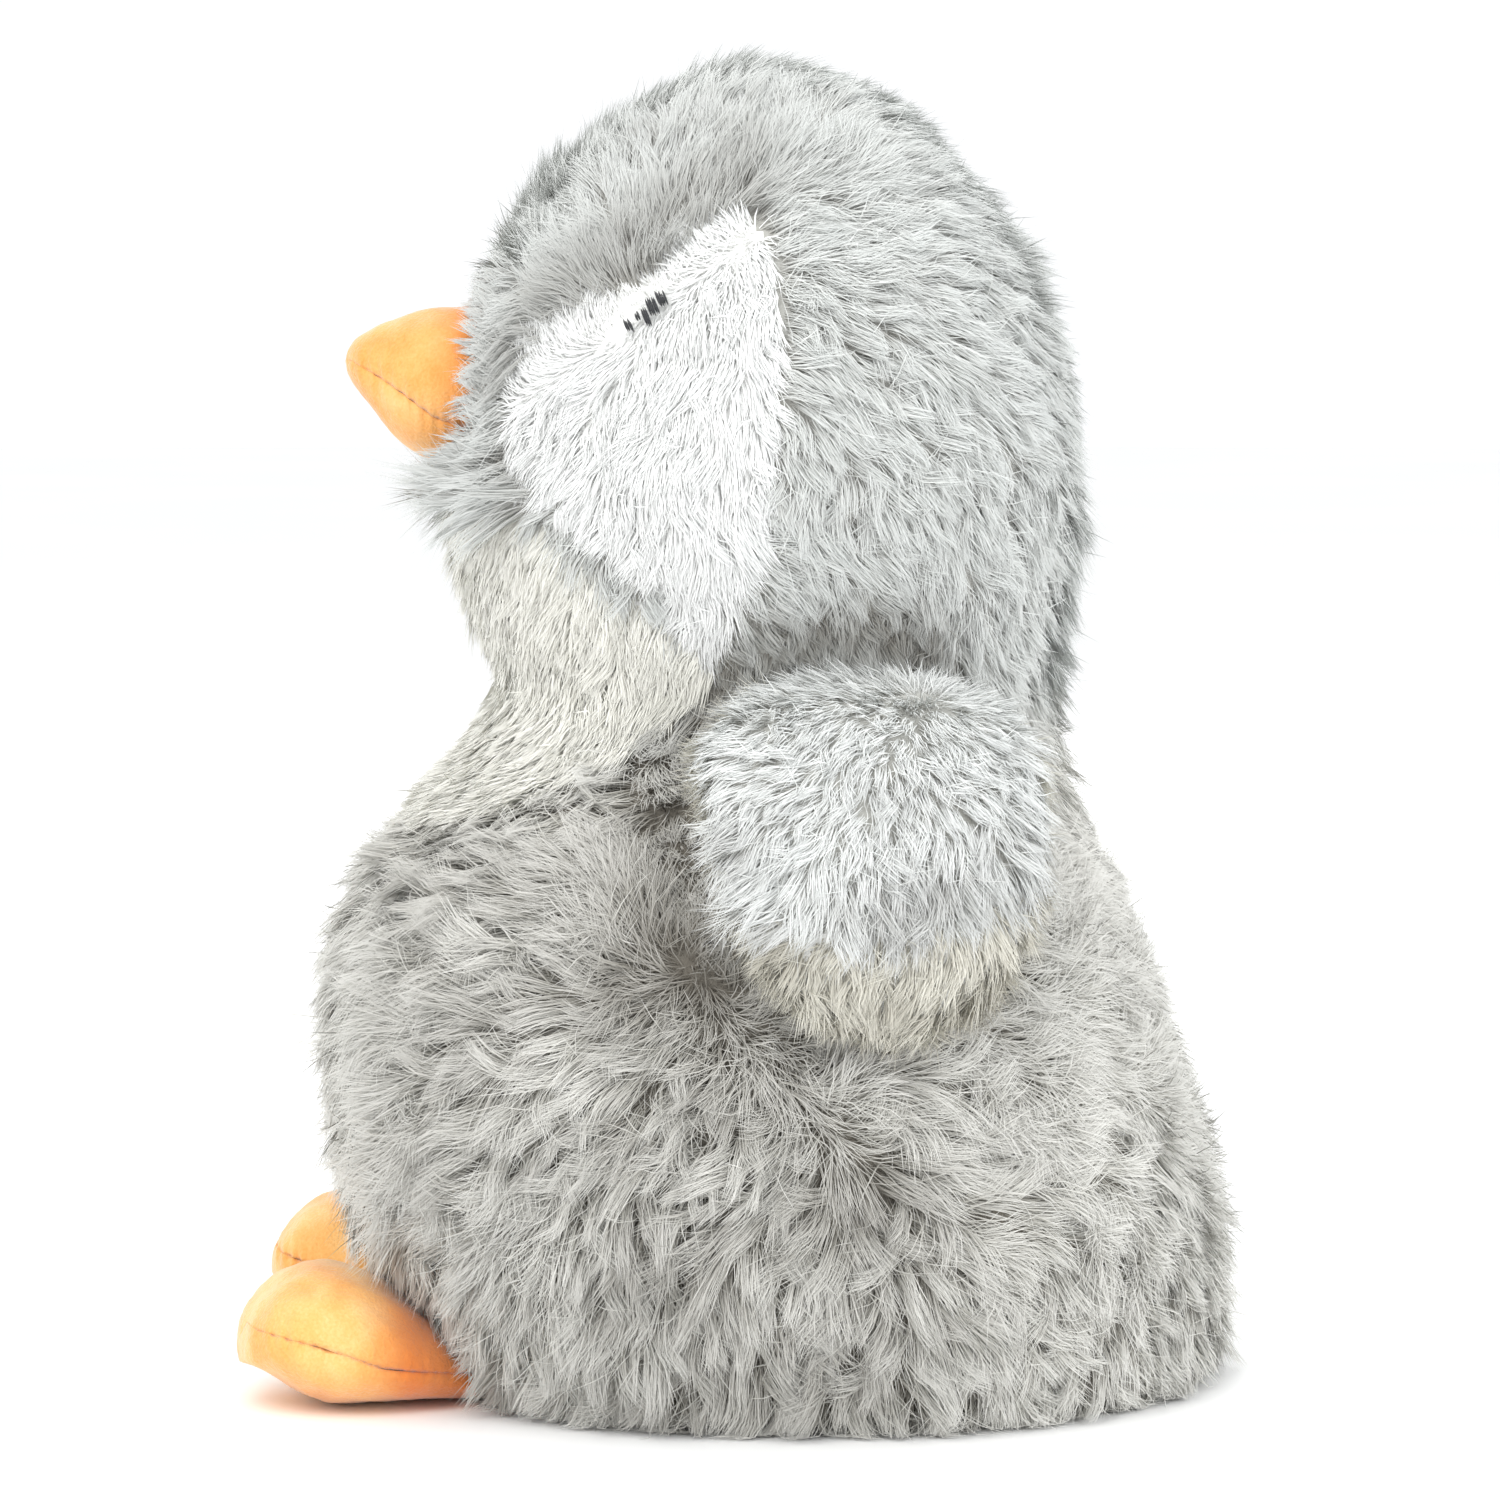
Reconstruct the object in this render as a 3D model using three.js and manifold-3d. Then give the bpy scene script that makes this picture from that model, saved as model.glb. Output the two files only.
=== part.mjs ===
// A sitting plush penguin in millimetres, +Z up, facing -Y, its own left side towards +X.
// It is an assembly of sewn panels, stuffing, a pellet pouch, a beak, eyes, two wings and two feet.
// Each wing turns at the seam along its top edge, and each foot at the seam along its rear edge.

import * as THREE from 'three';
import { mergeVertices } from 'three/addons/utils/BufferGeometryUtils.js';
import Module from 'manifold-3d';

const wasm = await Module();
wasm.setup();

// Driving dimensions, in a frame whose Y = 0 lies through the middle of the body.
const FORM_TOP = 291;
const SKIN = 3;
const THIN_SKIN = 1.4;
const GAP = 0.3;
const NECK_HEIGHT = 152;
const GUSSET_HALF_WIDTH = 24;
const FAR = 400;
const FORM_SIDES = 28;
const FORM_RINGS = 24;
const SMALL_SIDES = 16;
const LEAST_HALF = 0.6;

// The stuffed form at some heights: its front, its back and its half width.
const FORM_STATIONS = [
  { z: 0, front: -62, back: 100, half: 80 },
  { z: 7, front: -71, back: 104, half: 87 },
  { z: 24, front: -81, back: 104, half: 92 },
  { z: 45, front: -88, back: 100, half: 94 },
  { z: 68, front: -91, back: 93, half: 93 },
  { z: 90, front: -91, back: 85, half: 89 },
  { z: 110, front: -84, back: 77, half: 82 },
  { z: 128, front: -72, back: 69, half: 72 },
  { z: 143, front: -60, back: 65, half: 64.5 },
  { z: 158, front: -55, back: 65, half: 62 },
  { z: 175, front: -61.5, back: 67.5, half: 66 },
  { z: 193, front: -65, back: 70.5, half: 72 },
  { z: 213, front: -63, back: 70.5, half: 75 },
  { z: 233, front: -60, back: 66, half: 72.5 },
  { z: 252, front: -52, back: 56, half: 62.5 },
  { z: 268, front: -41, back: 44, half: 49 },
  { z: 281, front: -24, back: 30, half: 32 },
  { z: 289, front: -8, back: 14, half: 14 },
];
const CROWN_Y = 3;
const FORM_CENTRE = new THREE.Vector3(0, 4, FORM_TOP / 2);
const FORM_RADII = new THREE.Vector3(90, 84, FORM_TOP / 2);
const BELLY_ROUNDNESS = 2.5;
const FACE_ROUNDNESS = 1.95;
const ROUNDNESS_CHANGES = { from: 20, to: 190 };
const BACK_ROUNDNESS = 2.3;

// Seam lines seen from the side, as [y, z] points on closed smooth curves.
const PATCH_OUTLINE = [
  [-3, 258], [4, 250], [5.5, 222], [3, 197], [-2, 181], [-9, 168],
  [-22, 182], [-40, 197], [-50, 207], [-50, 224], [-40, 235], [-22, 245],
];
const BIB_OUTLINE = [
  [-90, 196], [-60, 196], [-44, 193], [-24, 177], [-8, 163], [-19, 150], [-36, 138], [-62, 128], [-90, 127],
];
const MUZZLE_OUTLINE = [
  [-92, 250], [-58, 250], [-43, 240], [-45, 222], [-43, 204], [-52, 194], [-92, 194],
];

// Sectors of the body seen from above, in degrees from straight ahead.
const BELLY_EDGE = 42;
const SIDE_EDGE = 122;

const BASE_INSET = 5;
const POUCH = { y: 22, radiusX: 50, radiusY: 52, height: 28 };
const POUCH_RINGS = 5;
const POUCH_TOP_LIFT = 0.48 * Math.PI;

// Beak sections from its root to its tip: place along Y, centre height, half height and half width.
// A section narrower than BEAK_TIP_WIDTH is part of the tip.
const BEAK_SECTIONS = [
  { y: -50, z: 221, high: 18.5, wide: 19 },
  { y: -58, z: 221, high: 18.3, wide: 18.6 },
  { y: -66, z: 221, high: 18, wide: 18 },
  { y: -73, z: 221.6, high: 16.6, wide: 16.5 },
  { y: -79, z: 222.6, high: 13.8, wide: 13.5 },
  { y: -84, z: 224.6, high: 9.8, wide: 10 },
  { y: -88, z: 226, high: 6, wide: 6.4 },
  { y: -90, z: 226.5, high: 2.4, wide: 2.6 },
];
const BEAK_TIP_WIDTH = 4;
const MOUTH_LINE = [[-96, 229], [-89, 227], [-80, 221.5], [-70, 214], [-45, 206]];

const EYE_ARC = [[-27.4, 234.5], [-25.6, 238.6], [-22.6, 241.6], [-18.8, 241.9]];
const EYE_STITCH = 2.2;
const EYE_PROUD = 1.1;

// Each wing is a paddle that leaves the body sideways and then hangs down its side.
const WING_ROOT = { y: 22, yaw: 12 };
const WING_CURVE = [[61.6, 157], [84, 152], [99, 90]];
const WING_LENGTH = 77;
const WING_HALF_WIDTH = 35;
const WING_ROOT_HALF_WIDTH = 19;
const WING_HALF_THICKNESS = 12;
const WING_ROOT_HALF_THICKNESS = 3;
const WING_RINGS = 9;
const WING_WIDEST = 0.42;
const WING_CLOSING = { from: 0.45, bend: 2.5, roundness: 0.42, least: 0.004 };

// Each foot is a plump pad, flat underneath, that tapers to its rear seam.
const FOOT = { x: 43, rear: -62, tip: -113, splay: 12 };
const FOOT_HINGE = { x: 44, y: -68, z: 10, lift: 20 };
const FOOT_SECTIONS = [
  { t: 0, top: 10, wide: 14 },
  { t: 0.22, top: 17.5, wide: 19.5 },
  { t: 0.42, top: 27, wide: 23.5 },
  { t: 0.62, top: 30.5, wide: 24.5 },
  { t: 0.8, top: 28.5, wide: 22 },
  { t: 0.93, top: 22.5, wide: 15 },
  { t: 1, top: 17.5, wide: 4 },
];
const FOOT_RINGS = 9;
const FOOT_FLATTEN = 1.6;
const TOE_LIFT = { from: 0.62, height: 9 };
const LIMB_CLEARANCE = 0.7;
const FOOT_SEAM = [[-130, 19], [-112, 19], [-98, 16], [-84, 11], [-68, 8], [-50, 6.5]];

const COLOUR = {
  greyFur: 0xb9bbb7,
  whiteFur: 0xf0f1f0,
  throatFur: 0xdcdcd4,
  creamFur: 0xdad8cc,
  orangePlush: 0xf2ab55,
  fibre: 0xf4f4f1,
  pouchCloth: 0xd9cfba,
  thread: 0x1c1d1f,
};

// Sampling and curve helpers

function smoothStep(edge0, edge1, value) {
  const t = Math.min(1, Math.max(0, (value - edge0) / (edge1 - edge0)));
  return t * t * (3 - 2 * t);
}

// A smooth curve through numbers, read at t from 0 to 1.
function curveThrough(values) {
  const curve = new THREE.CatmullRomCurve3(
    values.map((v) => new THREE.Vector3(v, 0, 0)),
    false,
    'catmullrom',
  );
  return (t) => curve.getPoint(t).x;
}

function signedPower(value, power) {
  return Math.sign(value) * Math.abs(value) ** power;
}

// Solids

function volumeOf(geometry) {
  const position = geometry.getAttribute('position');
  const index = geometry.getIndex().array;
  const [a, b, c] = [new THREE.Vector3(), new THREE.Vector3(), new THREE.Vector3()];
  let volume = 0;
  for (let i = 0; i < index.length; i += 3) {
    a.fromBufferAttribute(position, index[i]);
    b.fromBufferAttribute(position, index[i + 1]);
    c.fromBufferAttribute(position, index[i + 2]);
    volume += a.dot(b.cross(c)) / 6;
  }
  return volume;
}

// Turns every triangle over where they face inwards.
function facingOut(geometry) {
  if (volumeOf(geometry) < 0) {
    const index = geometry.getIndex().array;
    for (let i = 0; i < index.length; i += 3) {
      [index[i + 1], index[i + 2]] = [index[i + 2], index[i + 1]];
    }
  }
  geometry.computeVertexNormals();
  return geometry;
}

function mirroredX(geometry) {
  return facingOut(geometry.clone().scale(-1, 1, 1));
}

// A closed solid through rings of points, with a fan over each end.
function loft(rings) {
  const sides = rings[0].length;
  const points = rings.flat();
  const index = [];
  for (let r = 0; r < rings.length - 1; r += 1) {
    for (let i = 0; i < sides; i += 1) {
      const j = (i + 1) % sides;
      const [a, b] = [r * sides + i, r * sides + j];
      index.push(a, b, b + sides, a, b + sides, a + sides);
    }
  }
  const middle = (ring) => ring.reduce((sum, p) => sum.add(p), new THREE.Vector3()).divideScalar(sides);
  const [start, end] = [points.length, points.length + 1];
  const last = (rings.length - 1) * sides;
  points.push(middle(rings[0]), middle(rings[rings.length - 1]));
  for (let i = 0; i < sides; i += 1) {
    const j = (i + 1) % sides;
    index.push(start, j, i, end, last + i, last + j);
  }
  const geometry = new THREE.BufferGeometry();
  geometry.setAttribute('position', new THREE.Float32BufferAttribute(points.flatMap((p) => p.toArray()), 3));
  geometry.setIndex(index);
  return facingOut(geometry);
}

function solidFrom(geometry) {
  const bare = geometry.clone();
  bare.deleteAttribute('normal');
  bare.deleteAttribute('uv');
  const welded = mergeVertices(bare);
  return new wasm.Manifold(
    new wasm.Mesh({
      numProp: 3,
      vertProperties: new Float32Array(welded.getAttribute('position').array),
      triVerts: new Uint32Array(welded.getIndex().array),
    }),
  );
}

function geometryFrom(solid) {
  const mesh = solid.getMesh();
  const geometry = new THREE.BufferGeometry();
  geometry.setAttribute('position', new THREE.Float32BufferAttribute(mesh.vertProperties, 3));
  geometry.setIndex(Array.from(mesh.triVerts));
  geometry.computeVertexNormals();
  return geometry;
}

// A closed smooth outline through [u, v] points, moved outwards by grow.
function smoothOutline(points, grow, steps = 26) {
  const curve = new THREE.CatmullRomCurve3(
    points.map(([u, v]) => new THREE.Vector3(u, v, 0)),
    true,
    'centripetal',
  );
  const samples = curve.getSpacedPoints(steps).slice(0, steps).map((p) => new THREE.Vector2(p.x, p.y));
  const outward = THREE.ShapeUtils.area(samples) > 0 ? 1 : -1;
  return samples.map((p, i) => {
    const along = samples[(i + 1) % steps].clone().sub(samples[(i + steps - 1) % steps]).normalize();
    return new THREE.Vector2(p.x + along.y * grow * outward, p.y - along.x * grow * outward);
  });
}

function extruded(outline, low, high) {
  const depth = high - low;
  const geometry = new THREE.ExtrudeGeometry(new THREE.Shape(outline), { depth, bevelEnabled: false });
  return geometry.translate(0, 0, low);
}

// A prism whose [y, z] outline runs from x = low to x = high.
function prismAlongX(outline, low, high) {
  const geometry = extruded(outline, low, high);
  const turn = new THREE.Matrix4().makeBasis(
    new THREE.Vector3(0, 1, 0),
    new THREE.Vector3(0, 0, 1),
    new THREE.Vector3(1, 0, 0),
  );
  return solidFrom(geometry.applyMatrix4(turn));
}

function prismAlongZ(outline, low, high) {
  return solidFrom(extruded(outline, low, high));
}

function block(x0, x1, y0, y1, z0, z1) {
  const geometry = new THREE.BoxGeometry(x1 - x0, y1 - y0, z1 - z0);
  geometry.translate((x0 + x1) / 2, (y0 + y1) / 2, (z0 + z1) / 2);
  return solidFrom(geometry);
}

// The space under a line of [y, z] points, lowered by drop.
function spaceUnder(line, drop) {
  const curve = new THREE.SplineCurve(line.map(([y, z]) => new THREE.Vector2(y, z - drop)));
  const top = curve.getPoints(6);
  const [first, last] = [top[0], top[top.length - 1]];
  return prismAlongX(
    [...top, new THREE.Vector2(last.x, -FAR), new THREE.Vector2(first.x, -FAR)],
    -FAR,
    FAR,
  );
}

// The stuffed form

const formCurves = {
  z: curveThrough([...FORM_STATIONS.map((s) => s.z), FORM_TOP]),
  front: curveThrough([...FORM_STATIONS.map((s) => s.front), CROWN_Y - 0.5]),
  back: curveThrough([...FORM_STATIONS.map((s) => s.back), CROWN_Y + 0.5]),
  half: curveThrough([...FORM_STATIONS.map((s) => s.half), 0.5]),
};

function formRing(t, sides) {
  const [z, front, back, half] = ['z', 'front', 'back', 'half'].map((key) => formCurves[key](t));
  const middle = (front + back) / 2;
  const depth = (back - front) / 2;
  const change = smoothStep(ROUNDNESS_CHANGES.from, ROUNDNESS_CHANGES.to, z);
  const frontRoundness = THREE.MathUtils.lerp(BELLY_ROUNDNESS, FACE_ROUNDNESS, change);
  const ring = [];
  for (let i = 0; i < sides; i += 1) {
    const angle = (2 * Math.PI * i) / sides;
    const power = 2 / (Math.cos(angle) > 0 ? frontRoundness : BACK_ROUNDNESS);
    ring.push(
      new THREE.Vector3(
        half * signedPower(Math.sin(angle), power),
        middle - depth * signedPower(Math.cos(angle), power),
        z,
      ),
    );
  }
  return ring;
}

// The form, drawn in towards its centre by inset, or let out where inset is negative.
function stuffedGeometry(inset) {
  const rings = [];
  for (let r = 0; r <= FORM_RINGS; r += 1) {
    rings.push(formRing(r / FORM_RINGS, FORM_SIDES));
  }
  const geometry = loft(rings);
  geometry.translate(-FORM_CENTRE.x, -FORM_CENTRE.y, -FORM_CENTRE.z);
  geometry.scale(1 - inset / FORM_RADII.x, 1 - inset / FORM_RADII.y, 1 - inset / FORM_RADII.z);
  return geometry.translate(FORM_CENTRE.x, FORM_CENTRE.y, FORM_CENTRE.z);
}

function stuffedForm(inset = 0) {
  return solidFrom(stuffedGeometry(inset));
}

const form = stuffedForm();
const skin = form.subtract(stuffedForm(SKIN));
const grownForm = stuffedForm(-LIMB_CLEARANCE);

// A limb's piece, cut where it would touch the body.
function clearOfBody(geometry) {
  return geometryFrom(solidFrom(geometry).subtract(grownForm));
}

// Cutters for the panels

const leftHalf = block(GAP / 2, FAR, -FAR, FAR, -FAR, FAR);
const rightHalf = block(-FAR, -GAP / 2, -FAR, FAR, -FAR, FAR);
const aboveNeck = block(-FAR, FAR, -FAR, FAR, NECK_HEIGHT + GAP / 2, FAR);
const belowNeck = block(-FAR, FAR, -FAR, FAR, -FAR, NECK_HEIGHT - GAP / 2);

function patchCutter(grow) {
  return prismAlongX(smoothOutline(PATCH_OUTLINE, grow), -FAR, FAR);
}

function bibCutter(grow) {
  return prismAlongX(smoothOutline(BIB_OUTLINE, grow), -FAR, FAR);
}

function muzzleCutter(grow) {
  return prismAlongX(smoothOutline(MUZZLE_OUTLINE, grow), -FAR, FAR);
}

// A sector seen from above, between two angles in degrees from straight ahead, towards +X.
function sector(from, to, shrink) {
  const centre = new THREE.Vector2(0, FORM_CENTRE.y);
  const middle = THREE.MathUtils.degToRad((from + to) / 2);
  const spread = THREE.MathUtils.degToRad((to - from) / 2);
  const apex = centre.clone().add(
    new THREE.Vector2(Math.sin(middle), -Math.cos(middle)).multiplyScalar(shrink / Math.sin(spread)),
  );
  const outline = [apex];
  for (const angle of [middle - spread, middle, middle + spread]) {
    outline.push(apex.clone().add(new THREE.Vector2(Math.sin(angle), -Math.cos(angle)).multiplyScalar(FAR)));
  }
  return prismAlongZ(outline, -FAR, FAR);
}

// Flat outline of the base panel: the form's lowest ring, drawn in.
function baseCutter(grow, height) {
  const ring = formRing(0, FORM_SIDES);
  const middle = ring.reduce((sum, p) => sum.add(p), new THREE.Vector3()).divideScalar(FORM_SIDES);
  const outline = ring.map((p) => {
    const arm = new THREE.Vector2(p.x - middle.x, p.y - middle.y);
    arm.setLength(arm.length() - BASE_INSET + grow);
    return arm.add(new THREE.Vector2(middle.x, middle.y));
  });
  return prismAlongZ(outline, -GAP, height);
}

// Head

const headSkin = skin.intersect(aboveNeck).subtract(bibCutter(GAP));
const hood = headSkin.subtract(patchCutter(GAP)).subtract(muzzleCutter(GAP));

function crownGusset() {
  return hood.intersect(block(-GUSSET_HALF_WIDTH, GUSSET_HALF_WIDTH, -FAR, FAR, -FAR, FAR));
}

function headSide() {
  return hood.intersect(block(GUSSET_HALF_WIDTH + GAP, FAR, -FAR, FAR, -FAR, FAR));
}

function facePatch() {
  return headSkin.intersect(patchCutter(0)).intersect(leftHalf);
}

function muzzle() {
  return headSkin.intersect(muzzleCutter(0)).subtract(patchCutter(GAP));
}

function throatBib() {
  return skin.intersect(bibCutter(0)).subtract(patchCutter(GAP));
}

function headStuffing() {
  return stuffedForm(SKIN + 1.5 * GAP).intersect(aboveNeck);
}

// A raised arc of satin stitch on the side of the face.
function eye() {
  const arc = new THREE.SplineCurve(EYE_ARC.map(([y, z]) => new THREE.Vector2(y, z))).getPoints(10);
  const edge = (side) => arc.map((p, i) => {
    const along = arc[Math.min(i + 1, arc.length - 1)].clone().sub(arc[Math.max(i - 1, 0)]).normalize();
    return new THREE.Vector2(p.x - along.y * side, p.y + along.x * side);
  });
  const outline = [...edge(EYE_STITCH / 2), ...edge(-EYE_STITCH / 2).reverse()];
  const raised = stuffedForm(-EYE_PROUD - 1.5 * GAP).subtract(stuffedForm(-1.5 * GAP));
  return raised.intersect(prismAlongX(outline, 0, FAR));
}

// Body

const bodySkin = skin
  .intersect(belowNeck)
  .subtract(bibCutter(GAP))
  .subtract(baseCutter(GAP, SKIN + GAP));

function bellyPanel() {
  return bodySkin.intersect(sector(-BELLY_EDGE, BELLY_EDGE, 0));
}

function bodySide() {
  return bodySkin.intersect(sector(BELLY_EDGE, SIDE_EDGE, GAP));
}

function backPanel() {
  const otherSide = block(-FAR, GAP / 2, -FAR, FAR, -FAR, FAR);
  return bodySkin.intersect(sector(SIDE_EDGE, 180, GAP / 2)).subtract(otherSide);
}

function basePanel() {
  return baseCutter(0, SKIN).intersect(block(-FAR, FAR, -FAR, FAR, 0, SKIN));
}

// The pouch's dome, let out by grow, with an upright skirt under it that reaches down by skirt.
function pouchDome(grow, skirt) {
  const foot = SKIN + 2 * GAP;
  const ringAt = (lift, z) => {
    const ring = [];
    for (let i = 0; i < FORM_SIDES; i += 1) {
      const angle = (2 * Math.PI * i) / FORM_SIDES;
      ring.push(
        new THREE.Vector3(
          (POUCH.radiusX + grow) * Math.cos(lift) * Math.cos(angle),
          POUCH.y + (POUCH.radiusY + grow) * Math.cos(lift) * Math.sin(angle),
          z,
        ),
      );
    }
    return ring;
  };
  const rings = skirt > 0 ? [ringAt(0, foot - skirt)] : [];
  for (let r = 0; r <= POUCH_RINGS; r += 1) {
    const lift = (POUCH_TOP_LIFT * r) / POUCH_RINGS;
    rings.push(ringAt(lift, foot + (POUCH.height + grow) * Math.sin(lift)));
  }
  return solidFrom(loft(rings));
}

function pelletPouch() {
  return pouchDome(0, 0);
}

function bodyStuffing() {
  return stuffedForm(SKIN + 1.5 * GAP).intersect(belowNeck).subtract(pouchDome(GAP, 2 * SKIN));
}

// Beak

function beakForm(inset) {
  const rings = BEAK_SECTIONS.map(({ y, z, high, wide }) => {
    const ring = [];
    for (let i = 0; i < SMALL_SIDES; i += 1) {
      const angle = (2 * Math.PI * i) / SMALL_SIDES;
      ring.push(
        new THREE.Vector3(
          Math.max(wide - inset, LEAST_HALF) * Math.cos(angle),
          y + (wide < BEAK_TIP_WIDTH ? inset : 0),
          z + Math.max(high - inset, LEAST_HALF) * Math.sin(angle),
        ),
      );
    }
    return ring;
  });
  return solidFrom(loft(rings));
}

const beakSkin = beakForm(0).subtract(beakForm(THIN_SKIN)).subtract(grownForm);

function beakUpper() {
  return beakSkin.subtract(spaceUnder(MOUTH_LINE, -GAP / 2));
}

function beakLower() {
  return beakSkin.intersect(spaceUnder(MOUTH_LINE, GAP / 2));
}

function beakStuffing() {
  return beakForm(THIN_SKIN + GAP).subtract(grownForm);
}

// Wings, built straight and then bent along their curve

function wingForm(inset) {
  const rings = [];
  for (let r = 0; r <= WING_RINGS; r += 1) {
    const t = 0.5 - 0.5 * Math.cos((Math.PI * r) / WING_RINGS);
    const swell = smoothStep(0, WING_WIDEST, t);
    const past = Math.max(0, (t - WING_CLOSING.from) / (1 - WING_CLOSING.from));
    const closing = Math.max(WING_CLOSING.least, 1 - past ** WING_CLOSING.bend) ** WING_CLOSING.roundness;
    const tipRoom = inset + GAP * 0.03 * (WING_RINGS - r);
    const wide = THREE.MathUtils.lerp(WING_ROOT_HALF_WIDTH, WING_HALF_WIDTH, swell) * closing;
    const thick = THREE.MathUtils.lerp(WING_ROOT_HALF_THICKNESS, WING_HALF_THICKNESS, swell) * closing;
    const ring = [];
    for (let i = 0; i < SMALL_SIDES; i += 1) {
      const angle = (2 * Math.PI * i) / SMALL_SIDES;
      ring.push(
        new THREE.Vector3(
          Math.max(wide - inset, LEAST_HALF) * Math.cos(angle),
          THREE.MathUtils.clamp(t * WING_LENGTH, inset, WING_LENGTH - tipRoom),
          Math.max(thick - inset, LEAST_HALF) * Math.sin(angle),
        ),
      );
    }
    rings.push(ring);
  }
  return solidFrom(loft(rings));
}

function bentAlongWing(solid) {
  const [root, shoulder, tip] = WING_CURVE.map(([x, z]) => new THREE.Vector2(x, z));
  const curve = new THREE.QuadraticBezierCurve(root, shoulder, tip);
  const geometry = geometryFrom(solid);
  const position = geometry.getAttribute('position');
  for (let i = 0; i < position.count; i += 1) {
    const t = position.getY(i) / WING_LENGTH;
    const place = curve.getPoint(t);
    const along = curve.getTangent(t);
    const thickness = position.getZ(i);
    position.setXYZ(i, place.x - along.y * thickness, position.getX(i), place.y + along.x * thickness);
  }
  geometry.translate(-WING_CURVE[0][0], 0, 0);
  geometry.rotateZ(THREE.MathUtils.degToRad(WING_ROOT.yaw));
  geometry.translate(WING_CURVE[0][0], WING_ROOT.y, 0);
  return clearOfBody(facingOut(geometry));
}

const wingShell = wingForm(0).subtract(wingForm(THIN_SKIN));

function wingOuter() {
  return bentAlongWing(wingShell.intersect(block(-FAR, FAR, -FAR, FAR, GAP / 2, FAR)));
}

function wingLining() {
  return bentAlongWing(wingShell.intersect(block(-FAR, FAR, -FAR, FAR, -FAR, -GAP / 2)));
}

function wingStuffing() {
  return bentAlongWing(wingForm(THIN_SKIN + GAP));
}

// Feet

const footCurves = {
  top: curveThrough(FOOT_SECTIONS.map((s) => s.top)),
  wide: curveThrough(FOOT_SECTIONS.map((s) => s.wide)),
  t: curveThrough(FOOT_SECTIONS.map((s) => s.t)),
};

function footForm(inset) {
  const rings = [];
  for (let r = 0; r <= FOOT_RINGS; r += 1) {
    const t = r / FOOT_RINGS;
    const high = (footCurves.top(t) + FOOT_FLATTEN) / 2;
    const lift = smoothStep(TOE_LIFT.from, 1, footCurves.t(t)) * TOE_LIFT.height;
    const along = THREE.MathUtils.lerp(FOOT.rear - inset, FOOT.tip + inset, footCurves.t(t));
    const ring = [];
    for (let i = 0; i < SMALL_SIDES; i += 1) {
      const angle = (2 * Math.PI * i) / SMALL_SIDES;
      ring.push(
        new THREE.Vector3(
          Math.max(footCurves.wide(t) - inset, LEAST_HALF) * Math.cos(angle),
          along,
          high - FOOT_FLATTEN + lift / 2 + Math.max(high - lift / 2 - inset, LEAST_HALF) * Math.sin(angle),
        ),
      );
    }
    rings.push(ring);
  }
  return solidFrom(loft(rings)).intersect(block(-FAR, FAR, -FAR, FAR, inset, FAR));
}

const footShell = footForm(0).subtract(footForm(THIN_SKIN));

// The body's form turned about the foot's seam as far as the foot lifts, the other way.
function bodyAsRaisedFootMeetsIt() {
  const splay = THREE.MathUtils.degToRad(FOOT.splay);
  const axis = new THREE.Vector3(-Math.cos(splay), -Math.sin(splay), 0);
  const turn = new THREE.Matrix4().makeRotationAxis(axis, -THREE.MathUtils.degToRad(FOOT_HINGE.lift));
  const geometry = stuffedGeometry(-LIMB_CLEARANCE);
  geometry.translate(-FOOT_HINGE.x, -FOOT_HINGE.y, -FOOT_HINGE.z);
  geometry.applyMatrix4(turn);
  return solidFrom(geometry.translate(FOOT_HINGE.x, FOOT_HINGE.y, FOOT_HINGE.z));
}

function placedFoot(solid) {
  const geometry = geometryFrom(solid);
  geometry.translate(0, -FOOT.rear, 0);
  geometry.rotateZ(THREE.MathUtils.degToRad(FOOT.splay));
  geometry.translate(FOOT.x, FOOT.rear, 0);
  return geometryFrom(solidFrom(clearOfBody(geometry)).subtract(bodyAsRaisedFootMeetsIt()));
}

function footUpper() {
  return placedFoot(footShell.subtract(spaceUnder(FOOT_SEAM, -GAP / 2)));
}

function footSole() {
  return placedFoot(footShell.intersect(spaceUnder(FOOT_SEAM, GAP / 2)));
}

function footStuffing() {
  return placedFoot(footForm(THIN_SKIN + GAP));
}

// Materials and assembly

function softMaterial(colour) {
  return new THREE.MeshStandardMaterial({ color: colour, roughness: 0.95, metalness: 0 });
}

const penguin = new THREE.Group();

function add(name, geometry, colour) {
  const mesh = new THREE.Mesh(geometry, softMaterial(colour));
  mesh.name = name;
  penguin.add(mesh);
}

// A piece of the left side and its mirror image.
function addPair(leftName, geometry, colour) {
  add(leftName, geometry, colour);
  add(leftName.replace('left', 'right'), mirroredX(geometry), colour);
}

add('crown_gusset', geometryFrom(crownGusset()), COLOUR.greyFur);
addPair('head_side_left', geometryFrom(headSide()), COLOUR.greyFur);
add('muzzle', geometryFrom(muzzle()), COLOUR.greyFur);
addPair('face_patch_left', geometryFrom(facePatch()), COLOUR.whiteFur);
add('throat_bib', geometryFrom(throatBib()), COLOUR.throatFur);
add('belly_panel', geometryFrom(bellyPanel()), COLOUR.greyFur);
addPair('body_side_left', geometryFrom(bodySide()), COLOUR.greyFur);
addPair('back_left', geometryFrom(backPanel()), COLOUR.greyFur);
add('base_panel', geometryFrom(basePanel()), COLOUR.greyFur);
add('head_stuffing', geometryFrom(headStuffing()), COLOUR.fibre);
add('body_stuffing', geometryFrom(bodyStuffing()), COLOUR.fibre);
add('pellet_pouch', geometryFrom(pelletPouch()), COLOUR.pouchCloth);
add('beak_upper', geometryFrom(beakUpper()), COLOUR.orangePlush);
add('beak_lower', geometryFrom(beakLower()), COLOUR.orangePlush);
add('beak_stuffing', geometryFrom(beakStuffing()), COLOUR.fibre);
addPair('eye_left', geometryFrom(eye()), COLOUR.thread);
addPair('wing_left_outer', wingOuter(), COLOUR.greyFur);
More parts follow.
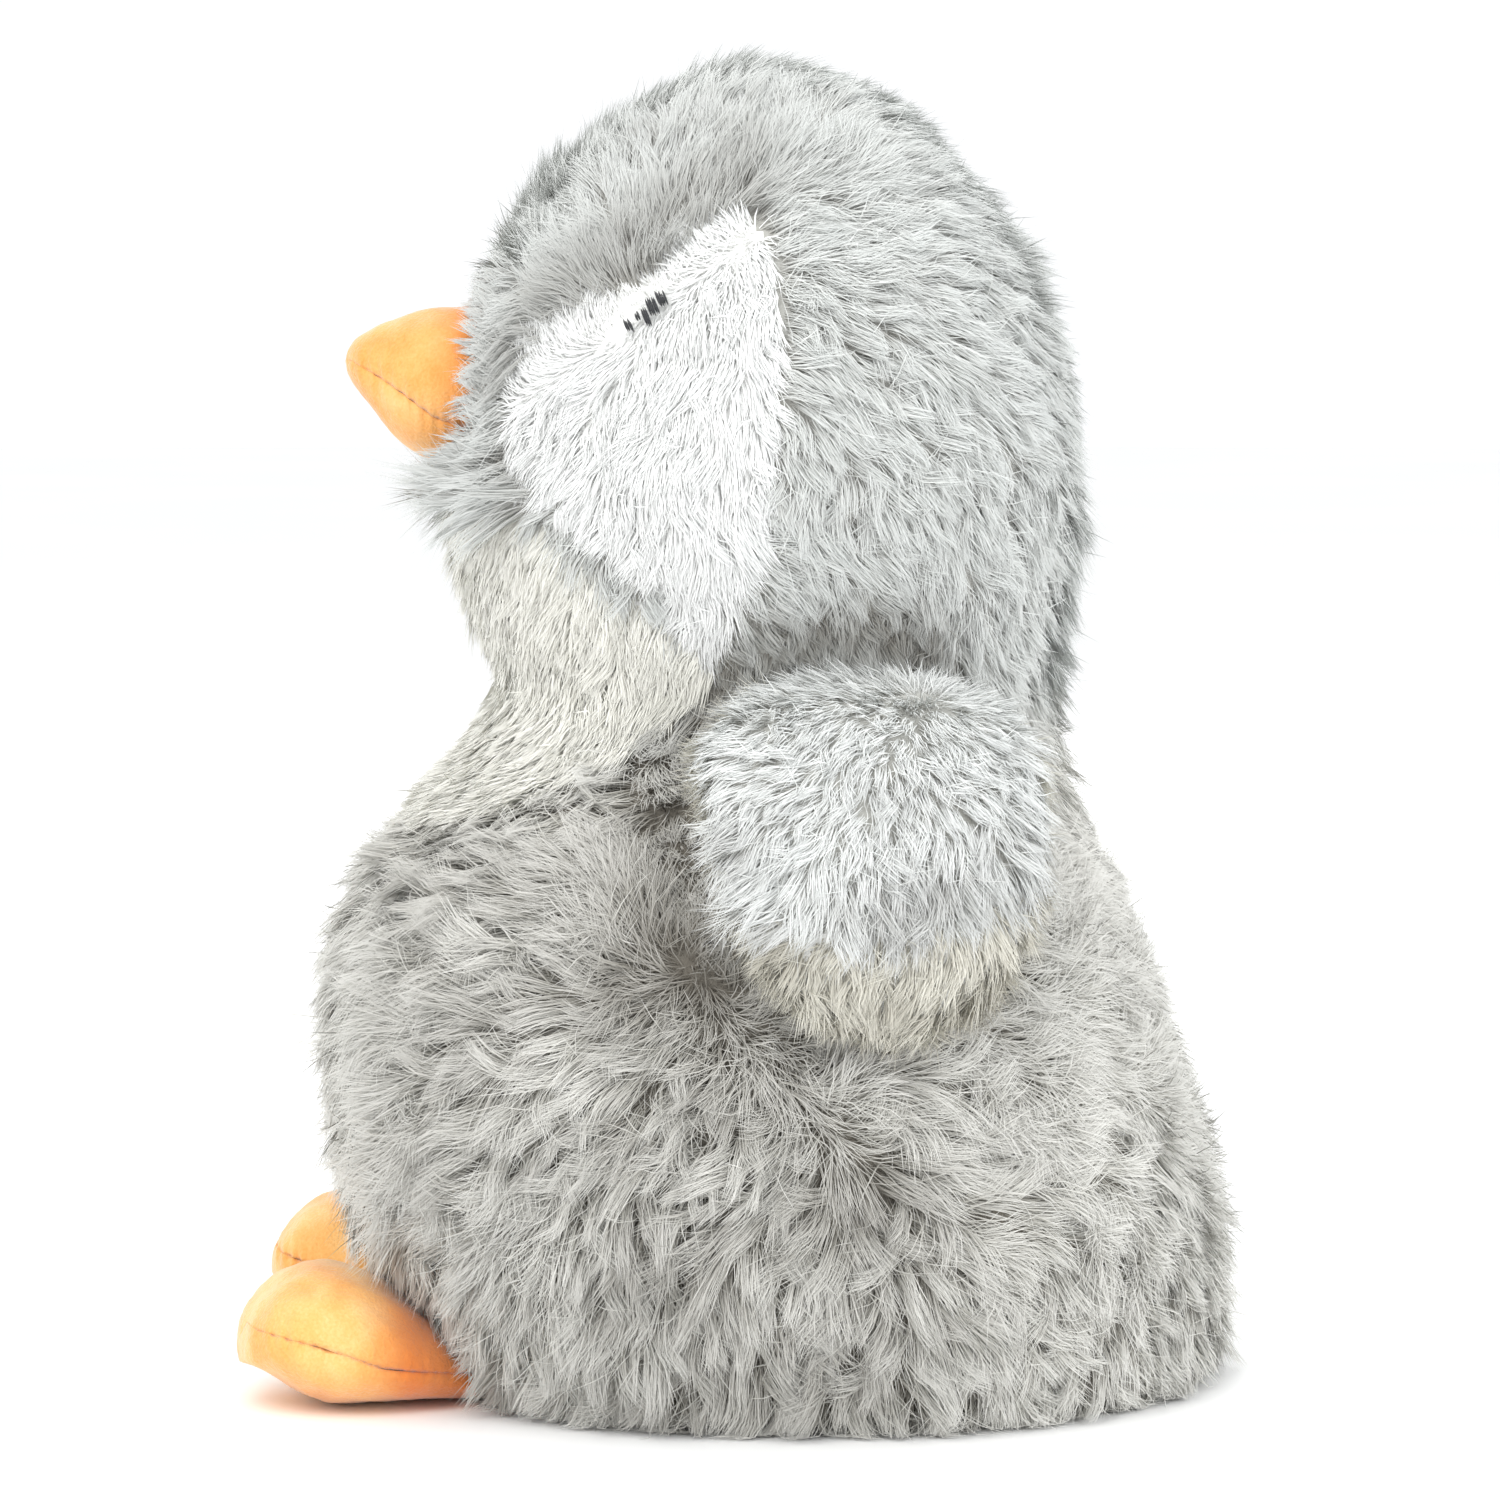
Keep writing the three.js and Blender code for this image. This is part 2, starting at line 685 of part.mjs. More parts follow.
addPair('wing_left_lining', wingLining(), COLOUR.creamFur);
addPair('wing_left_stuffing', wingStuffing(), COLOUR.fibre);
addPair('foot_left_upper', footUpper(), COLOUR.orangePlush);
addPair('foot_left_sole', footSole(), COLOUR.orangePlush);
addPair('foot_left_stuffing', footStuffing(), COLOUR.fibre);

// The origin lies under the middle of the box round everything.
const box = new THREE.Box3().setFromObject(penguin);
penguin.position.y = -(box.min.y + box.max.y) / 2;

export default penguin;
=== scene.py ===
import math
import bpy
import numpy as np
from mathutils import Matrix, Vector
from mathutils.kdtree import KDTree


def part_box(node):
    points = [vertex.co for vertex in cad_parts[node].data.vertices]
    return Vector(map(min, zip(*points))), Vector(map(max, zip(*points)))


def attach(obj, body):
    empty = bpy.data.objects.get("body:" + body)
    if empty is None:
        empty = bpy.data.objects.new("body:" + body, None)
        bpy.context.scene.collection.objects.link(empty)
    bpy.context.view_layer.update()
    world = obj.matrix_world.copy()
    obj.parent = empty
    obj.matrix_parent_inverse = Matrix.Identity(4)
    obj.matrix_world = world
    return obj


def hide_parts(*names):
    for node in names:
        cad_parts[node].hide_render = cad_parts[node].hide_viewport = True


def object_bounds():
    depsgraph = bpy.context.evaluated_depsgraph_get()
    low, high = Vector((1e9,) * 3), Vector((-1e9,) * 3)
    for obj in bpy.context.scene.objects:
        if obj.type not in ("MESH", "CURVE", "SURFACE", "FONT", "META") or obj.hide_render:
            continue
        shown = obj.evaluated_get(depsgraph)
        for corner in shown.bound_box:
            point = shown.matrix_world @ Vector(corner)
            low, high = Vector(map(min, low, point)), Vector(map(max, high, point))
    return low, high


# A sitting plush penguin in long grey fur. Shapes are worked out in millimetres, in a frame whose Y = 0
# lies through the middle of the body, and placed() moves them to the frame's own origin and to metres.
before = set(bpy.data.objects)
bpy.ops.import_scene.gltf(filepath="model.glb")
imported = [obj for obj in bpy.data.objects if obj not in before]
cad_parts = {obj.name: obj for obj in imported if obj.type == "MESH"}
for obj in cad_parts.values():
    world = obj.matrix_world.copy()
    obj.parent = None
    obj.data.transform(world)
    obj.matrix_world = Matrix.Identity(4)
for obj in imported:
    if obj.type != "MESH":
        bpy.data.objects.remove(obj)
CAD_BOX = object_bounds()

BEAK_TIP_Y = -90
SIDE_FUR = 7.4      # how far fur may stand out past the fabric's box, to either side
FUR_REACH = CAD_BOX[1][0] * 1000 + SIDE_FUR
SHIFT_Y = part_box("beak_upper")[0][1] * 1000 - BEAK_TIP_Y

# ---------------------------------------------------------------- the stuffed form

# Height, front, back and half width at each station, from the base to the crown.
STATIONS = np.array([
    (0, -62, 100, 80), (7, -71, 104, 87), (24, -81, 104, 92), (45, -88, 100, 94), (68, -91, 93, 93),
    (90, -91, 85, 89), (110, -84, 77, 82), (128, -72, 69, 72), (143, -60, 65, 64.5), (158, -55, 65, 62),
    (175, -61.5, 67.5, 66), (193, -65, 70.5, 72), (213, -63, 70.5, 75), (233, -60, 66, 72.5),
    (252, -52, 56, 62.5), (268, -41, 44, 49), (281, -24, 30, 32), (289, -8, 14, 14), (291, 2.5, 3.5, 0.5),
], dtype=float)
BELLY_ROUNDNESS = 2.5
FACE_ROUNDNESS = 1.95
BACK_ROUNDNESS = 2.3
BELLY_TO_FACE = (20, 190)
NECK_HEIGHT = 152
GUSSET_HALF_WIDTH = 24
BODY_MIDDLE_Y = 4
BELLY_EDGE = 42
SIDE_EDGE = 122
BASE_INSET = 2          # how far the base's edge lies inside the form's

# Seam lines seen from the side, as [y, z] points on closed smooth curves.
PATCH_OUTLINE = [
    (-3, 258), (4, 250), (5.5, 222), (3, 197), (-2, 181), (-9, 168),
    (-22, 182), (-40, 197), (-50, 207), (-50, 224), (-40, 235), (-22, 245),
]
BIB_OUTLINE = [
    (-90, 196), (-60, 196), (-44, 193), (-24, 177), (-8, 163),
    (-19, 150), (-36, 138), (-62, 128), (-90, 127),
]
MUZZLE_OUTLINE = [(-92, 250), (-58, 250), (-43, 240), (-45, 222), (-43, 204), (-52, 194), (-92, 194)]


def smoothstep(low, high, value):
    t = np.clip((value - low) / (high - low), 0, 1)
    return t * t * (3 - 2 * t)


def peak(value, middle, spread):
    """1 where the value is the middle one, falling smoothly to 0 on both sides."""
    return np.exp(-(((value - middle) / spread) ** 2))


def signed_power(value, power):
    return np.sign(value) * np.abs(value) ** power


def unit(vectors):
    return vectors / np.maximum(np.linalg.norm(vectors, axis=-1, keepdims=True), 1e-9)


def smooth_piece(a, b, c, d, u):
    """The stretch from b to c of a smooth curve through a, b, c and d, at u from 0 to 1."""
    return (
        (2 * u**3 - 3 * u**2 + 1) * b + (u**3 - 2 * u**2 + u) * (c - a) / 2
        + (3 * u**2 - 2 * u**3) * c + (u**3 - u**2) * (d - b) / 2
    )


def curve_through(values, t):
    """A smooth curve through evenly spaced values, read at t from 0 to 1."""
    values = np.asarray(values, float)
    ends = np.concatenate([[2 * values[0] - values[1]], values, [2 * values[-1] - values[-2]]])
    place = np.clip(t, 0, 1) * (len(values) - 1)
    i = np.minimum(place.astype(int), len(values) - 2)
    return smooth_piece(*(ends[i + k] for k in range(4)), place - i)


def closed_curve(points, steps=12):
    """A closed smooth outline through points, as an array of [y, z] rows."""
    points = np.asarray(points, float)
    u = np.arange(steps)[:, None] / steps
    around = [[points[(i + k) % len(points)] for k in (-1, 0, 1, 2)] for i in range(len(points))]
    return np.concatenate([smooth_piece(*corners, u) for corners in around])


def inside(outline, y, z):
    """True where the points (y, z) are inside the closed outline."""
    hits = np.zeros(y.shape, bool)
    previous = outline[-1]
    for corner in outline:
        (y0, z0), (y1, z1) = previous, corner
        if z0 != z1:
            crosses = (z0 > z) != (z1 > z)
            hits ^= crosses & (y < (y1 - y0) * (z - z0) / (z1 - z0) + y0)
        previous = corner
    return hits


PATCH_CURVE = closed_curve(PATCH_OUTLINE)
BIB_CURVE = closed_curve(BIB_OUTLINE)
MUZZLE_CURVE = closed_curve(MUZZLE_OUTLINE)


def front_roundness(z):
    """The form's front is fuller at the belly and rounder at the face."""
    return BELLY_ROUNDNESS + (FACE_ROUNDNESS - BELLY_ROUNDNESS) * smoothstep(*BELLY_TO_FACE, z)


def form_point(t, angle):
    """The place on the form at a share t of the way up and at an angle from the front."""
    z, front, back, half = (curve_through(STATIONS[:, k], t) for k in range(4))
    power = 2 / np.where(np.cos(angle) > 0, front_roundness(z), BACK_ROUNDNESS)
    x = half * signed_power(np.sin(angle), power)
    y = (front + back) / 2 - (back - front) / 2 * signed_power(np.cos(angle), power)
    return np.stack([x, y, z * np.ones_like(x)], axis=-1)


# Height, front, back and half width at close steps up the form.
FORM_TABLE = np.stack([curve_through(STATIONS[:, k], np.linspace(0, 1, 400)) for k in range(4)])


def form_half_width(y, z):
    """Half the form's width at a place seen from the side, or 0 outside it."""
    front, back, half = (np.interp(z, FORM_TABLE[0], FORM_TABLE[k]) for k in (1, 2, 3))
    across = (y - (front + back) / 2) / ((back - front) / 2)
    power = np.where(across < 0, front_roundness(z), BACK_ROUNDNESS)
    return half * np.maximum(1 - np.abs(across) ** power, 0) ** (1 / power)


# ---------------------------------------------------------------- mesh helpers

MIRROR = np.array([-1, 1, 1])


class Surface:
    """Points in millimetres with a normal each, and quads."""

    def __init__(self, points, quads, normals=None):
        self.points = points
        self.quads = quads
        self.normals = self.vertex_normals() if normals is None else normals

    def vertex_normals(self):
        a, b, c, d = (self.points[self.quads[:, k]] for k in range(4))
        face = np.cross(c - a, d - b)
        total = np.zeros_like(self.points)
        for k in range(4):
            np.add.at(total, self.quads[:, k], face)
        return unit(total)

    def centres(self):
        return self.points[self.quads].mean(axis=1)

    def part(self, keep):
        """The quads where keep is true, with only the points that they use."""
        quads = self.quads[keep]
        used, flat = np.unique(quads, return_inverse=True)
        return Surface(self.points[used], flat.reshape(quads.shape), self.normals[used])

    def turned_over(self, wanted):
        return Surface(self.points, self.quads[:, ::-1]) if wanted else self

    def mirrored(self):
        return Surface(self.points * MIRROR, self.quads[:, ::-1], self.normals * MIRROR)


def grid_quads(rows, columns, closed):
    """Quads of a grid of points, row by row; closed grids join their last column to the first."""
    i, j = np.meshgrid(np.arange(rows - 1), np.arange(columns if closed else columns - 1), indexing="ij")
    here = i.ravel() * columns
    j = j.ravel()
    k = (j + 1) % columns
    return np.stack([here + j, here + k, here + columns + k, here + columns + j], axis=1)


def shell(surface, thickness):
    """Points and quads of the surface given a thickness inwards, with walls round its edges."""
    count = len(surface.points)
    points = np.concatenate([surface.points, surface.points - surface.normals * thickness])
    quads = surface.quads
    edges = np.concatenate([quads[:, [k, (k + 1) % 4]] for k in range(4)])
    keys = edges[:, 0] * count + edges[:, 1]
    rim = edges[~np.isin(keys, edges[:, 1] * count + edges[:, 0])]
    walls = np.stack([rim[:, 1], rim[:, 0], rim[:, 0] + count, rim[:, 1] + count], axis=1)
    return points, np.concatenate([quads, quads[:, ::-1] + count, walls])


def placed(points):
    return (points + np.array([0, SHIFT_Y, 0])) / 1000


def make_mesh(name, points, loops, starts, slots=None, normals=None, attributes=None):
    mesh = bpy.data.meshes.new(name)
    mesh.vertices.add(len(points))
    mesh.vertices.foreach_set("co", placed(points).astype(np.float32).ravel())
    mesh.loops.add(len(loops))
    mesh.loops.foreach_set("vertex_index", loops.astype(np.int32))
    mesh.polygons.add(len(starts))
    mesh.polygons.foreach_set("loop_start", starts.astype(np.int32))
    if slots is not None:
        mesh.polygons.foreach_set("material_index", slots.astype(np.int32))
    mesh.update(calc_edges=True)
    mesh.polygons.foreach_set("use_smooth", np.ones(len(starts), bool))
    for key, values in (attributes or {}).items():
        layer = mesh.attributes.new(key, "FLOAT", "POINT")
        layer.data.foreach_set("value", values.astype(np.float32))
    if normals is not None:
        mesh.normals_split_custom_set_from_vertices(normals.astype(np.float32))
    obj = bpy.data.objects.new(name, mesh)
    bpy.context.scene.collection.objects.link(obj)
    return obj


def make_quads(name, points, quads, **layers):
    return make_mesh(name, points, quads.ravel(), np.arange(len(quads)) * 4, **layers)


# ---------------------------------------------------------------- fur

WAVE_COUNT = 7
WAVE_SUM = 2.6          # about the most that so many waves add up to


def waves(points, size, seed):
    """Smooth noise from about -1 to 1 with features of about the given size."""
    rng = np.random.default_rng(seed)
    total = np.zeros(len(points))
    for _ in range(WAVE_COUNT):
        turn = unit(rng.normal(size=3)) * 2 * math.pi / size * rng.uniform(0.6, 1.5)
        total += np.sin(points @ turn + rng.uniform(0, 2 * math.pi))
    return total / WAVE_SUM


def scatter(rng, surface, density):
    """Random places on the surface, and their normals. density is their number per square millimetre."""
    a, b, c, d = surface.points[surface.quads].transpose(1, 0, 2)
    wanted = np.linalg.norm(np.cross(c - a, d - b), axis=1) / 2 * density
    count = np.floor(wanted + rng.random(len(wanted))).astype(int)
    which = np.repeat(np.arange(len(wanted)), count)
    u, v = rng.random((2, len(which), 1))
    weights = (1 - u) * (1 - v), u * (1 - v), u * v, (1 - u) * v
    quads = surface.quads[which]
    points = sum(w * surface.points[quads[:, k]] for k, w in enumerate(weights))
    normals = unit(sum(w * surface.normals[quads[:, k]] for k, w in enumerate(weights)))
    return points, normals


def along_surface(vectors, normals):
    return unit(vectors - normals * np.sum(vectors * normals, axis=1, keepdims=True))


def turned(directions, normals, angles):
    angles = angles[:, None]
    return directions * np.cos(angles) + np.cross(normals, directions) * np.sin(angles)


class Coat:
    """How a kind of fur grows. Lengths are in millimetres and angles in degrees."""

    def __init__(self, **values):
        self.density = 1.0
        self.lock = 4.2         # distance between locks
        self.length = 15        # number, or function of the root points
        self.lift = (52, 8)     # angle off the fabric at root and tip, or a function of the roots
        self.gather = 0.8       # how far a lock's strands meet at its tip
        self.width = 0.42
        self.swirl = 16         # slow change of direction
        self.unruly = 15        # change of direction from lock to lock
        self.curl = 12          # change of direction along a strand
        self.strays = 0.1       # share of the strands that leave their lock
        self.uneven = 8         # change of lift from lock to lock
        self.stand = 30         # extra lift where the direction of growth is uncertain
        self.scatter = 65       # and extra change of direction there
        self.segments = 3
        self.__dict__.update(values)


ROOT_DEPTH = 0.6            # how far below the fabric's face a strand starts
LOCK_WAVES = (38, 15)       # sizes of the slow changes of direction
LIFT_WAVE = 12
LOOSE = 0.28                # how far strands stray sideways at the tip
LOWEST_STRAND = 0.5         # fur lies no lower than this on what the toy sits on
RIBBON_TAPER = (0.95, 1.0, 0.72)
RIBBON_TURN = 40            # ribbons face outwards to within this angle
RIBBON_ROUNDING = 0.12      # how far the shading of a ribbon turns towards its own face and edges


def grow(surface, coat, comb, seed, keep=None, shade=None):
    """Fur on a surface as tapered ribbons. comb gives the direction of growth for points and normals,
    shorter than 1 where it is uncertain. keep gives each root's share of its length, where 0 leaves it
    out, and shade how much painted shade darkens it, from 0 to 1."""
    rng = np.random.default_rng(seed)
    hubs, _ = scatter(rng, surface, 1 / coat.lock**2)
    roots, normals = scatter(rng, surface, coat.density)
    share = np.ones(len(roots)) if keep is None else keep(roots, normals)
    roots, normals, share = roots[share > 0], normals[share > 0], share[share > 0]

    tree = KDTree(len(hubs))
    for i, hub in enumerate(hubs):
        tree.insert(hub, i)
    tree.balance()
    lock = np.fromiter((tree.find(root)[1] for root in roots), int, len(roots))

    slow = waves(hubs, LOCK_WAVES[0], 11) * coat.swirl + waves(hubs, LOCK_WAVES[1], 12) * coat.swirl * 0.6
    hub_turn = np.radians(slow + rng.normal(size=len(hubs)) * coat.unruly)
    hub_curl = np.radians(rng.normal(size=len(hubs)) * coat.curl)
    hub_lift = np.radians(rng.normal(size=len(hubs)) + waves(hubs, LIFT_WAVE, 13) * 0.75) * coat.uneven
    hub_length = 1 + rng.normal(size=len(hubs)) * 0.12

    count = len(roots)
    stray = rng.random(count) < coat.strays
    heading = comb(roots, normals)
    heading = heading - normals * np.sum(heading * normals, axis=1, keepdims=True)
    certainty = np.minimum(np.linalg.norm(heading, axis=1), 1)
    forward = unit(heading)
    turn = hub_turn[lock] + np.radians(rng.normal(size=count) * np.where(stray, 38, 4))
    turn = turn + np.radians(rng.normal(size=count)) * coat.scatter * (1 - certainty)
    lift = hub_lift[lock] + np.radians(rng.normal(size=count) * np.where(stray, 14, 3))
    lift = lift + np.radians(coat.stand) * (1 - certainty)
    base = coat.length(roots) if callable(coat.length) else coat.length
    lift_root, lift_tip = coat.lift(roots) if callable(coat.lift) else coat.lift
    length = base * share * hub_length[lock] * np.clip(rng.normal(0.92, 0.12, count), 0.5, 1.15)
    apart = roots - hubs[lock]
    gather = np.where(stray, 0.2, coat.gather)[:, None]

    segments = coat.segments
    path = [roots - normals * ROOT_DEPTH]
    travel = np.zeros_like(roots)
    for k in range(segments):
        s = (k + 0.5) / segments
        rise = np.radians(lift_root + (lift_tip - lift_root) * s) + lift
        bearing = turned(forward, normals, turn + hub_curl[lock] * 2 * s)
        step = bearing * np.cos(rise)[:, None] + normals * np.sin(rise)[:, None]
        travel = travel + step * (length / segments)[:, None]
        s = (k + 1) / segments
        loose = rng.normal(size=(count, 3)) * LOOSE * s
        path.append(roots + travel - apart * gather * s**1.2 + loose)
    path = np.stack(path, axis=1)
    path[:, :, 2] = np.maximum(path[:, :, 2], LOWEST_STRAND * (1 + rng.random((count, 1))))
    path[:, :, 0] = np.clip(path[:, :, 0], -FUR_REACH, FUR_REACH)

    along = unit(path[:, -1] - path[:, 0])
    facing = along_surface(normals + along * 0.01, along)
    facing = turned(facing, along, np.radians(rng.uniform(-RIBBON_TURN, RIBBON_TURN, count)))
    side = unit(np.cross(along, facing))
    girth = coat.width * rng.uniform(0.75, 1.2, count)[:, None]
    points, shading = [], []
    soft = normals + facing * RIBBON_ROUNDING
    for k in range(segments):
        half = side * girth * RIBBON_TAPER[k] / 2
        points += [path[:, k] - half, path[:, k] + half]
        shading += [unit(soft - side * RIBBON_ROUNDING), unit(soft + side * RIBBON_ROUNDING)]
    points.append(path[:, segments])
    shading.append(unit(soft))
    corners = 2 * segments + 1
    order = []
    for k in range(segments - 1):
        order += [2 * k, 2 * k + 1, 2 * k + 3, 2 * k + 2]
    order += [corners - 3, corners - 2, corners - 1]
    strand = np.arange(count)[:, None]
    tint = rng.normal(0.5, 0.08, count) + rng.normal(size=len(hubs))[lock] * 0.14
    # Painted shade of each strand, from 0 to 1.
    dark = np.zeros(count) if shade is None else shade(roots, normals)
    ends = [k / segments for k in range(segments) for _ in (0, 1)] + [1.0]
    return {
        "points": np.stack(points, axis=1).reshape(-1, 3),
        "normals": np.stack(shading, axis=1).reshape(-1, 3),
        "loops": (strand * corners + np.array(order)[None]).ravel(),
        "starts": (strand * len(order) + 4 * np.arange(segments)[None]).ravel(),
        "along": np.tile(ends, count),
        "tint": np.repeat(np.clip(tint, 0, 1), corners),
        "dark": np.repeat(dark, corners),
    }


def furry_piece(name, surface, thickness, fur, cloth, look):
    """One object of a fabric shell and the fur on it."""
    points, quads = shell(surface, thickness)
    count = len(points)
    shell_normals = np.concatenate([surface.normals, -surface.normals])
    skin_loops = quads.ravel()
    skin_starts = np.arange(len(quads)) * 4
    obj = make_mesh(
        name,
        np.concatenate([points, fur["points"]]),
        np.concatenate([skin_loops, fur["loops"] + count]),
        np.concatenate([skin_starts, fur["starts"] + len(skin_loops)]),
        np.concatenate([np.zeros(len(quads)), np.ones(len(fur["starts"]))]),
        np.concatenate([shell_normals, fur["normals"]]),
        {
            "along": np.concatenate([np.zeros(count), fur["along"]]),
            "tint": np.concatenate([np.full(count, 0.5), fur["tint"]]),
            # Painted shade on the fur, none on the cloth.
            "dark": np.concatenate([np.zeros(count), fur["dark"]]),
        },
    )
    obj.data.materials.append(cloth)
    obj.data.materials.append(look)
    return obj


# ---------------------------------------------------------------- materials

def linear(code):
    """A colour written as six hexadecimal digits, as linear light."""
    parts = [int(code[k:k + 2], 16) / 255 for k in (0, 2, 4)]
    return [p / 12.92 if p <= 0.04045 else ((p + 0.055) / 1.055) ** 2.4 for p in parts] + [1]


class Shader:
    """A new material and short calls that add nodes to it."""

    def __init__(self, name, roughness, sheen=0.0, specular=0.3):
        self.material = bpy.data.materials.new(name)
        self.material.use_nodes = True
        self.nodes = self.material.node_tree.nodes
        self.links = self.material.node_tree.links
        self.surface = self.nodes["Principled BSDF"]
        self.surface.inputs["Roughness"].default_value = roughness
        self.surface.inputs["Sheen Weight"].default_value = sheen
        self.surface.inputs["Sheen Roughness"].default_value = 0.5
        self.surface.inputs["Specular IOR Level"].default_value = specular

    def node(self, kind, **settings):
        node = self.nodes.new(kind)
        for key, value in settings.items():
            setattr(node, key, value)
        return node

    def coordinates(self):
        return self.node("ShaderNodeTexCoord").outputs["Object"]

    def texture(self, kind, scale, **settings):
        node = self.node(kind, **settings)
        node.inputs["Scale"].default_value = scale
        self.links.new(self.coordinates(), node.inputs["Vector"])
        return node

    def noise(self, scale, detail=3.0):
        node = self.texture("ShaderNodeTexNoise", scale)
        node.inputs["Detail"].default_value = detail
        return node.outputs["Fac"]

    def attribute(self, name):
        return self.node("ShaderNodeAttribute", attribute_name=name).outputs["Fac"]

    def ramp(self, factor, stops):
        node = self.node("ShaderNodeValToRGB")
        elements = node.color_ramp.elements
        while len(elements) < len(stops):
            elements.new(0.5)
        for element, (place, code) in zip(elements, stops):
            element.position = place
            element.color = linear(code)
        self.links.new(factor, node.inputs["Fac"])
        return node.outputs["Color"]

    def feed(self, sockets, values):
        """Each value is another node's output or a plain value."""
        for socket, value in zip(sockets, values):
            if hasattr(value, "is_output"):
                self.links.new(value, socket)
            else:
                socket.default_value = value

    def mix(self, factor, a, b):
        node = self.node("ShaderNodeMix", data_type="RGBA")
        self.feed([node.inputs[k] for k in (0, 6, 7)], (factor, a, b))
        return node.outputs[2]

    def math(self, operation, *values):
        node = self.node("ShaderNodeMath", operation=operation)
        self.feed(node.inputs, values)
        return node.outputs["Value"]

    def rise(self, low, high):
        """0 below the lower height and 1 above the upper one, in metres."""
        split = self.node("ShaderNodeSeparateXYZ")
        self.links.new(self.coordinates(), split.inputs["Vector"])
        node = self.node("ShaderNodeMapRange", interpolation_type="SMOOTHSTEP")
        node.inputs["From Min"].default_value = low
        node.inputs["From Max"].default_value = high
        self.links.new(split.outputs["Z"], node.inputs["Value"])
        return node.outputs["Result"]

    def colour(self, socket):
        self.links.new(socket, self.surface.inputs["Base Color"])

    def bump(self, height, strength, distance):
        node = self.node("ShaderNodeBump")
        node.inputs["Strength"].default_value = strength
        node.inputs["Distance"].default_value = distance
        self.links.new(height, node.inputs["Height"])
        self.links.new(node.outputs["Normal"], self.surface.inputs["Normal"])


NECK_BLEND = (0.132, 0.16)      # between these heights, in metres, body fur turns into head fur


def fur_material(name, colours, shadow, upper=None):
    """Strands that are dark at the root and light at the tip, each of its own tint. colours are those of
    the root, middle and tip and of pale tips, and upper, where given, those above the neck.
    shadow is the colour of painted shade, which the dark attribute mixes in, more at the root than at the
    tip."""
    shader = Shader(name, 0.62, sheen=0.1, specular=0.2)
    along = shader.attribute("along")
    patches = shader.noise(55, 2)
    tint = shader.math("ADD", shader.attribute("tint"), shader.math("MULTIPLY", patches, 0.3))
    paleness = shader.math("MULTIPLY", shader.math("MULTIPLY", tint, 0.85), along)

    def strands(root, middle, tip, pale):
        strand = shader.ramp(along, [(0.0, root), (0.35, middle), (0.8, tip)])
        return shader.mix(paleness, strand, linear(pale))

    light = strands(*colours)
    if upper:
        light = shader.mix(shader.rise(*NECK_BLEND), light, strands(*upper))
    # Painted shade: the dark attribute mixes the strands towards the shadow colour, more at the root than
    # at the tip.
    depth = shader.math("SUBTRACT", 0.95, shader.math("MULTIPLY", along, 0.35))
    painted_shade = shader.math("MULTIPLY", shader.attribute("dark"), depth)
    shader.colour(shader.mix(painted_shade, light, linear(shadow)))
    return shader.material


def backing_material(name, dark, light):
    """Knitted backing cloth between the roots of the fur."""
    shader = Shader(name, 0.9)
    cells = shader.texture("ShaderNodeTexVoronoi", 900)
    shader.colour(shader.ramp(shader.noise(140), [(0.3, dark), (0.75, light)]))
    shader.bump(cells.outputs["Distance"], 0.5, 0.0004)
    return shader.material


def plush_material(name, deep, middle, light, root):
    """Short dense pile with soft cloudy marks, and painted shade, deeper in colour, at its root, where the
    fur begins; root is the colour of that painted shade.
    """
    shader = Shader(name, 0.8, sheen=0.5, specular=0.2)
    clouds = shader.noise(75, 4)
    pile = shader.noise(1500, 2)
    blend = shader.math("ADD", shader.math("MULTIPLY", clouds, 0.7), shader.math("MULTIPLY", pile, 0.3))
    pads = shader.ramp(blend, [(0.3, deep), (0.5, middle), (0.7, light)])
    shader.colour(shader.mix(shader.attribute("dark"), pads, linear(root)))
    shader.bump(shader.math("ADD", pile, shader.math("MULTIPLY", shader.noise(420), 0.8)), 0.55, 0.0005)
    return shader.material


def noisy_material(shader, scale, detail, dark, light, light_from, strength, distance):
    """Colour and relief that follow one noise: fine for thread, coarse for wadding."""
    noise = shader.noise(scale, detail)
    shader.colour(shader.ramp(noise, [(0.3, dark), (light_from, light)]))
    shader.bump(noise, strength, distance)
    return shader.material


def pouch_material():
    shader = Shader("pouch_cloth", 0.9)
    weave = shader.texture("ShaderNodeTexWave", 420, wave_type="BANDS")
    shader.colour(shader.ramp(shader.noise(180), [(0.3, "B8AC92"), (0.7, "D9CFBA")]))
    shader.bump(weave.outputs["Fac"], 0.5, 0.0004)
    return shader.material


HEAD_COLOURS = ("ABA8A1", "CBCCC8", "D6D8D5", "E0E3E1")
# The colour after each fur's own four is the colour of its painted shade.
GREY_FUR = fur_material("grey_fur", ("7A7468", "B4B2A9", "D7D6D0", "EAE9E4"), "6A645A", HEAD_COLOURS)
WING_FUR = fur_material("wing_fur", ("D2D2CE", "DDDFDC", "E6E8E6", "EEF0EF"), "77726A")
WHITE_FUR = fur_material("white_fur", ("EBEBE9", "EEEFED", "F0F1F0", "F3F4F3"), "DCDCDA")
THROAT_FUR = fur_material("throat_fur", ("EDECE2", "EFEEE5", "F0EFE7", "F3F2EC"), "C9C8BF")
CREAM_FUR = fur_material("cream_fur", ("B9B5A6", "D6D3C6", "E0DDD2", "E9E7DD"), "8E8878")
GREY_CLOTH = backing_material("grey_cloth", "6E6960", "8E897F")
PALE_CLOTH = backing_material("pale_cloth", "A3A29C", "BDBDB8")
WHITE_CLOTH = backing_material("white_cloth", "F4F4F1", "FBFBFA")
BASE_CLOTH = backing_material("base_cloth", "6F6D67", "8C8A84")
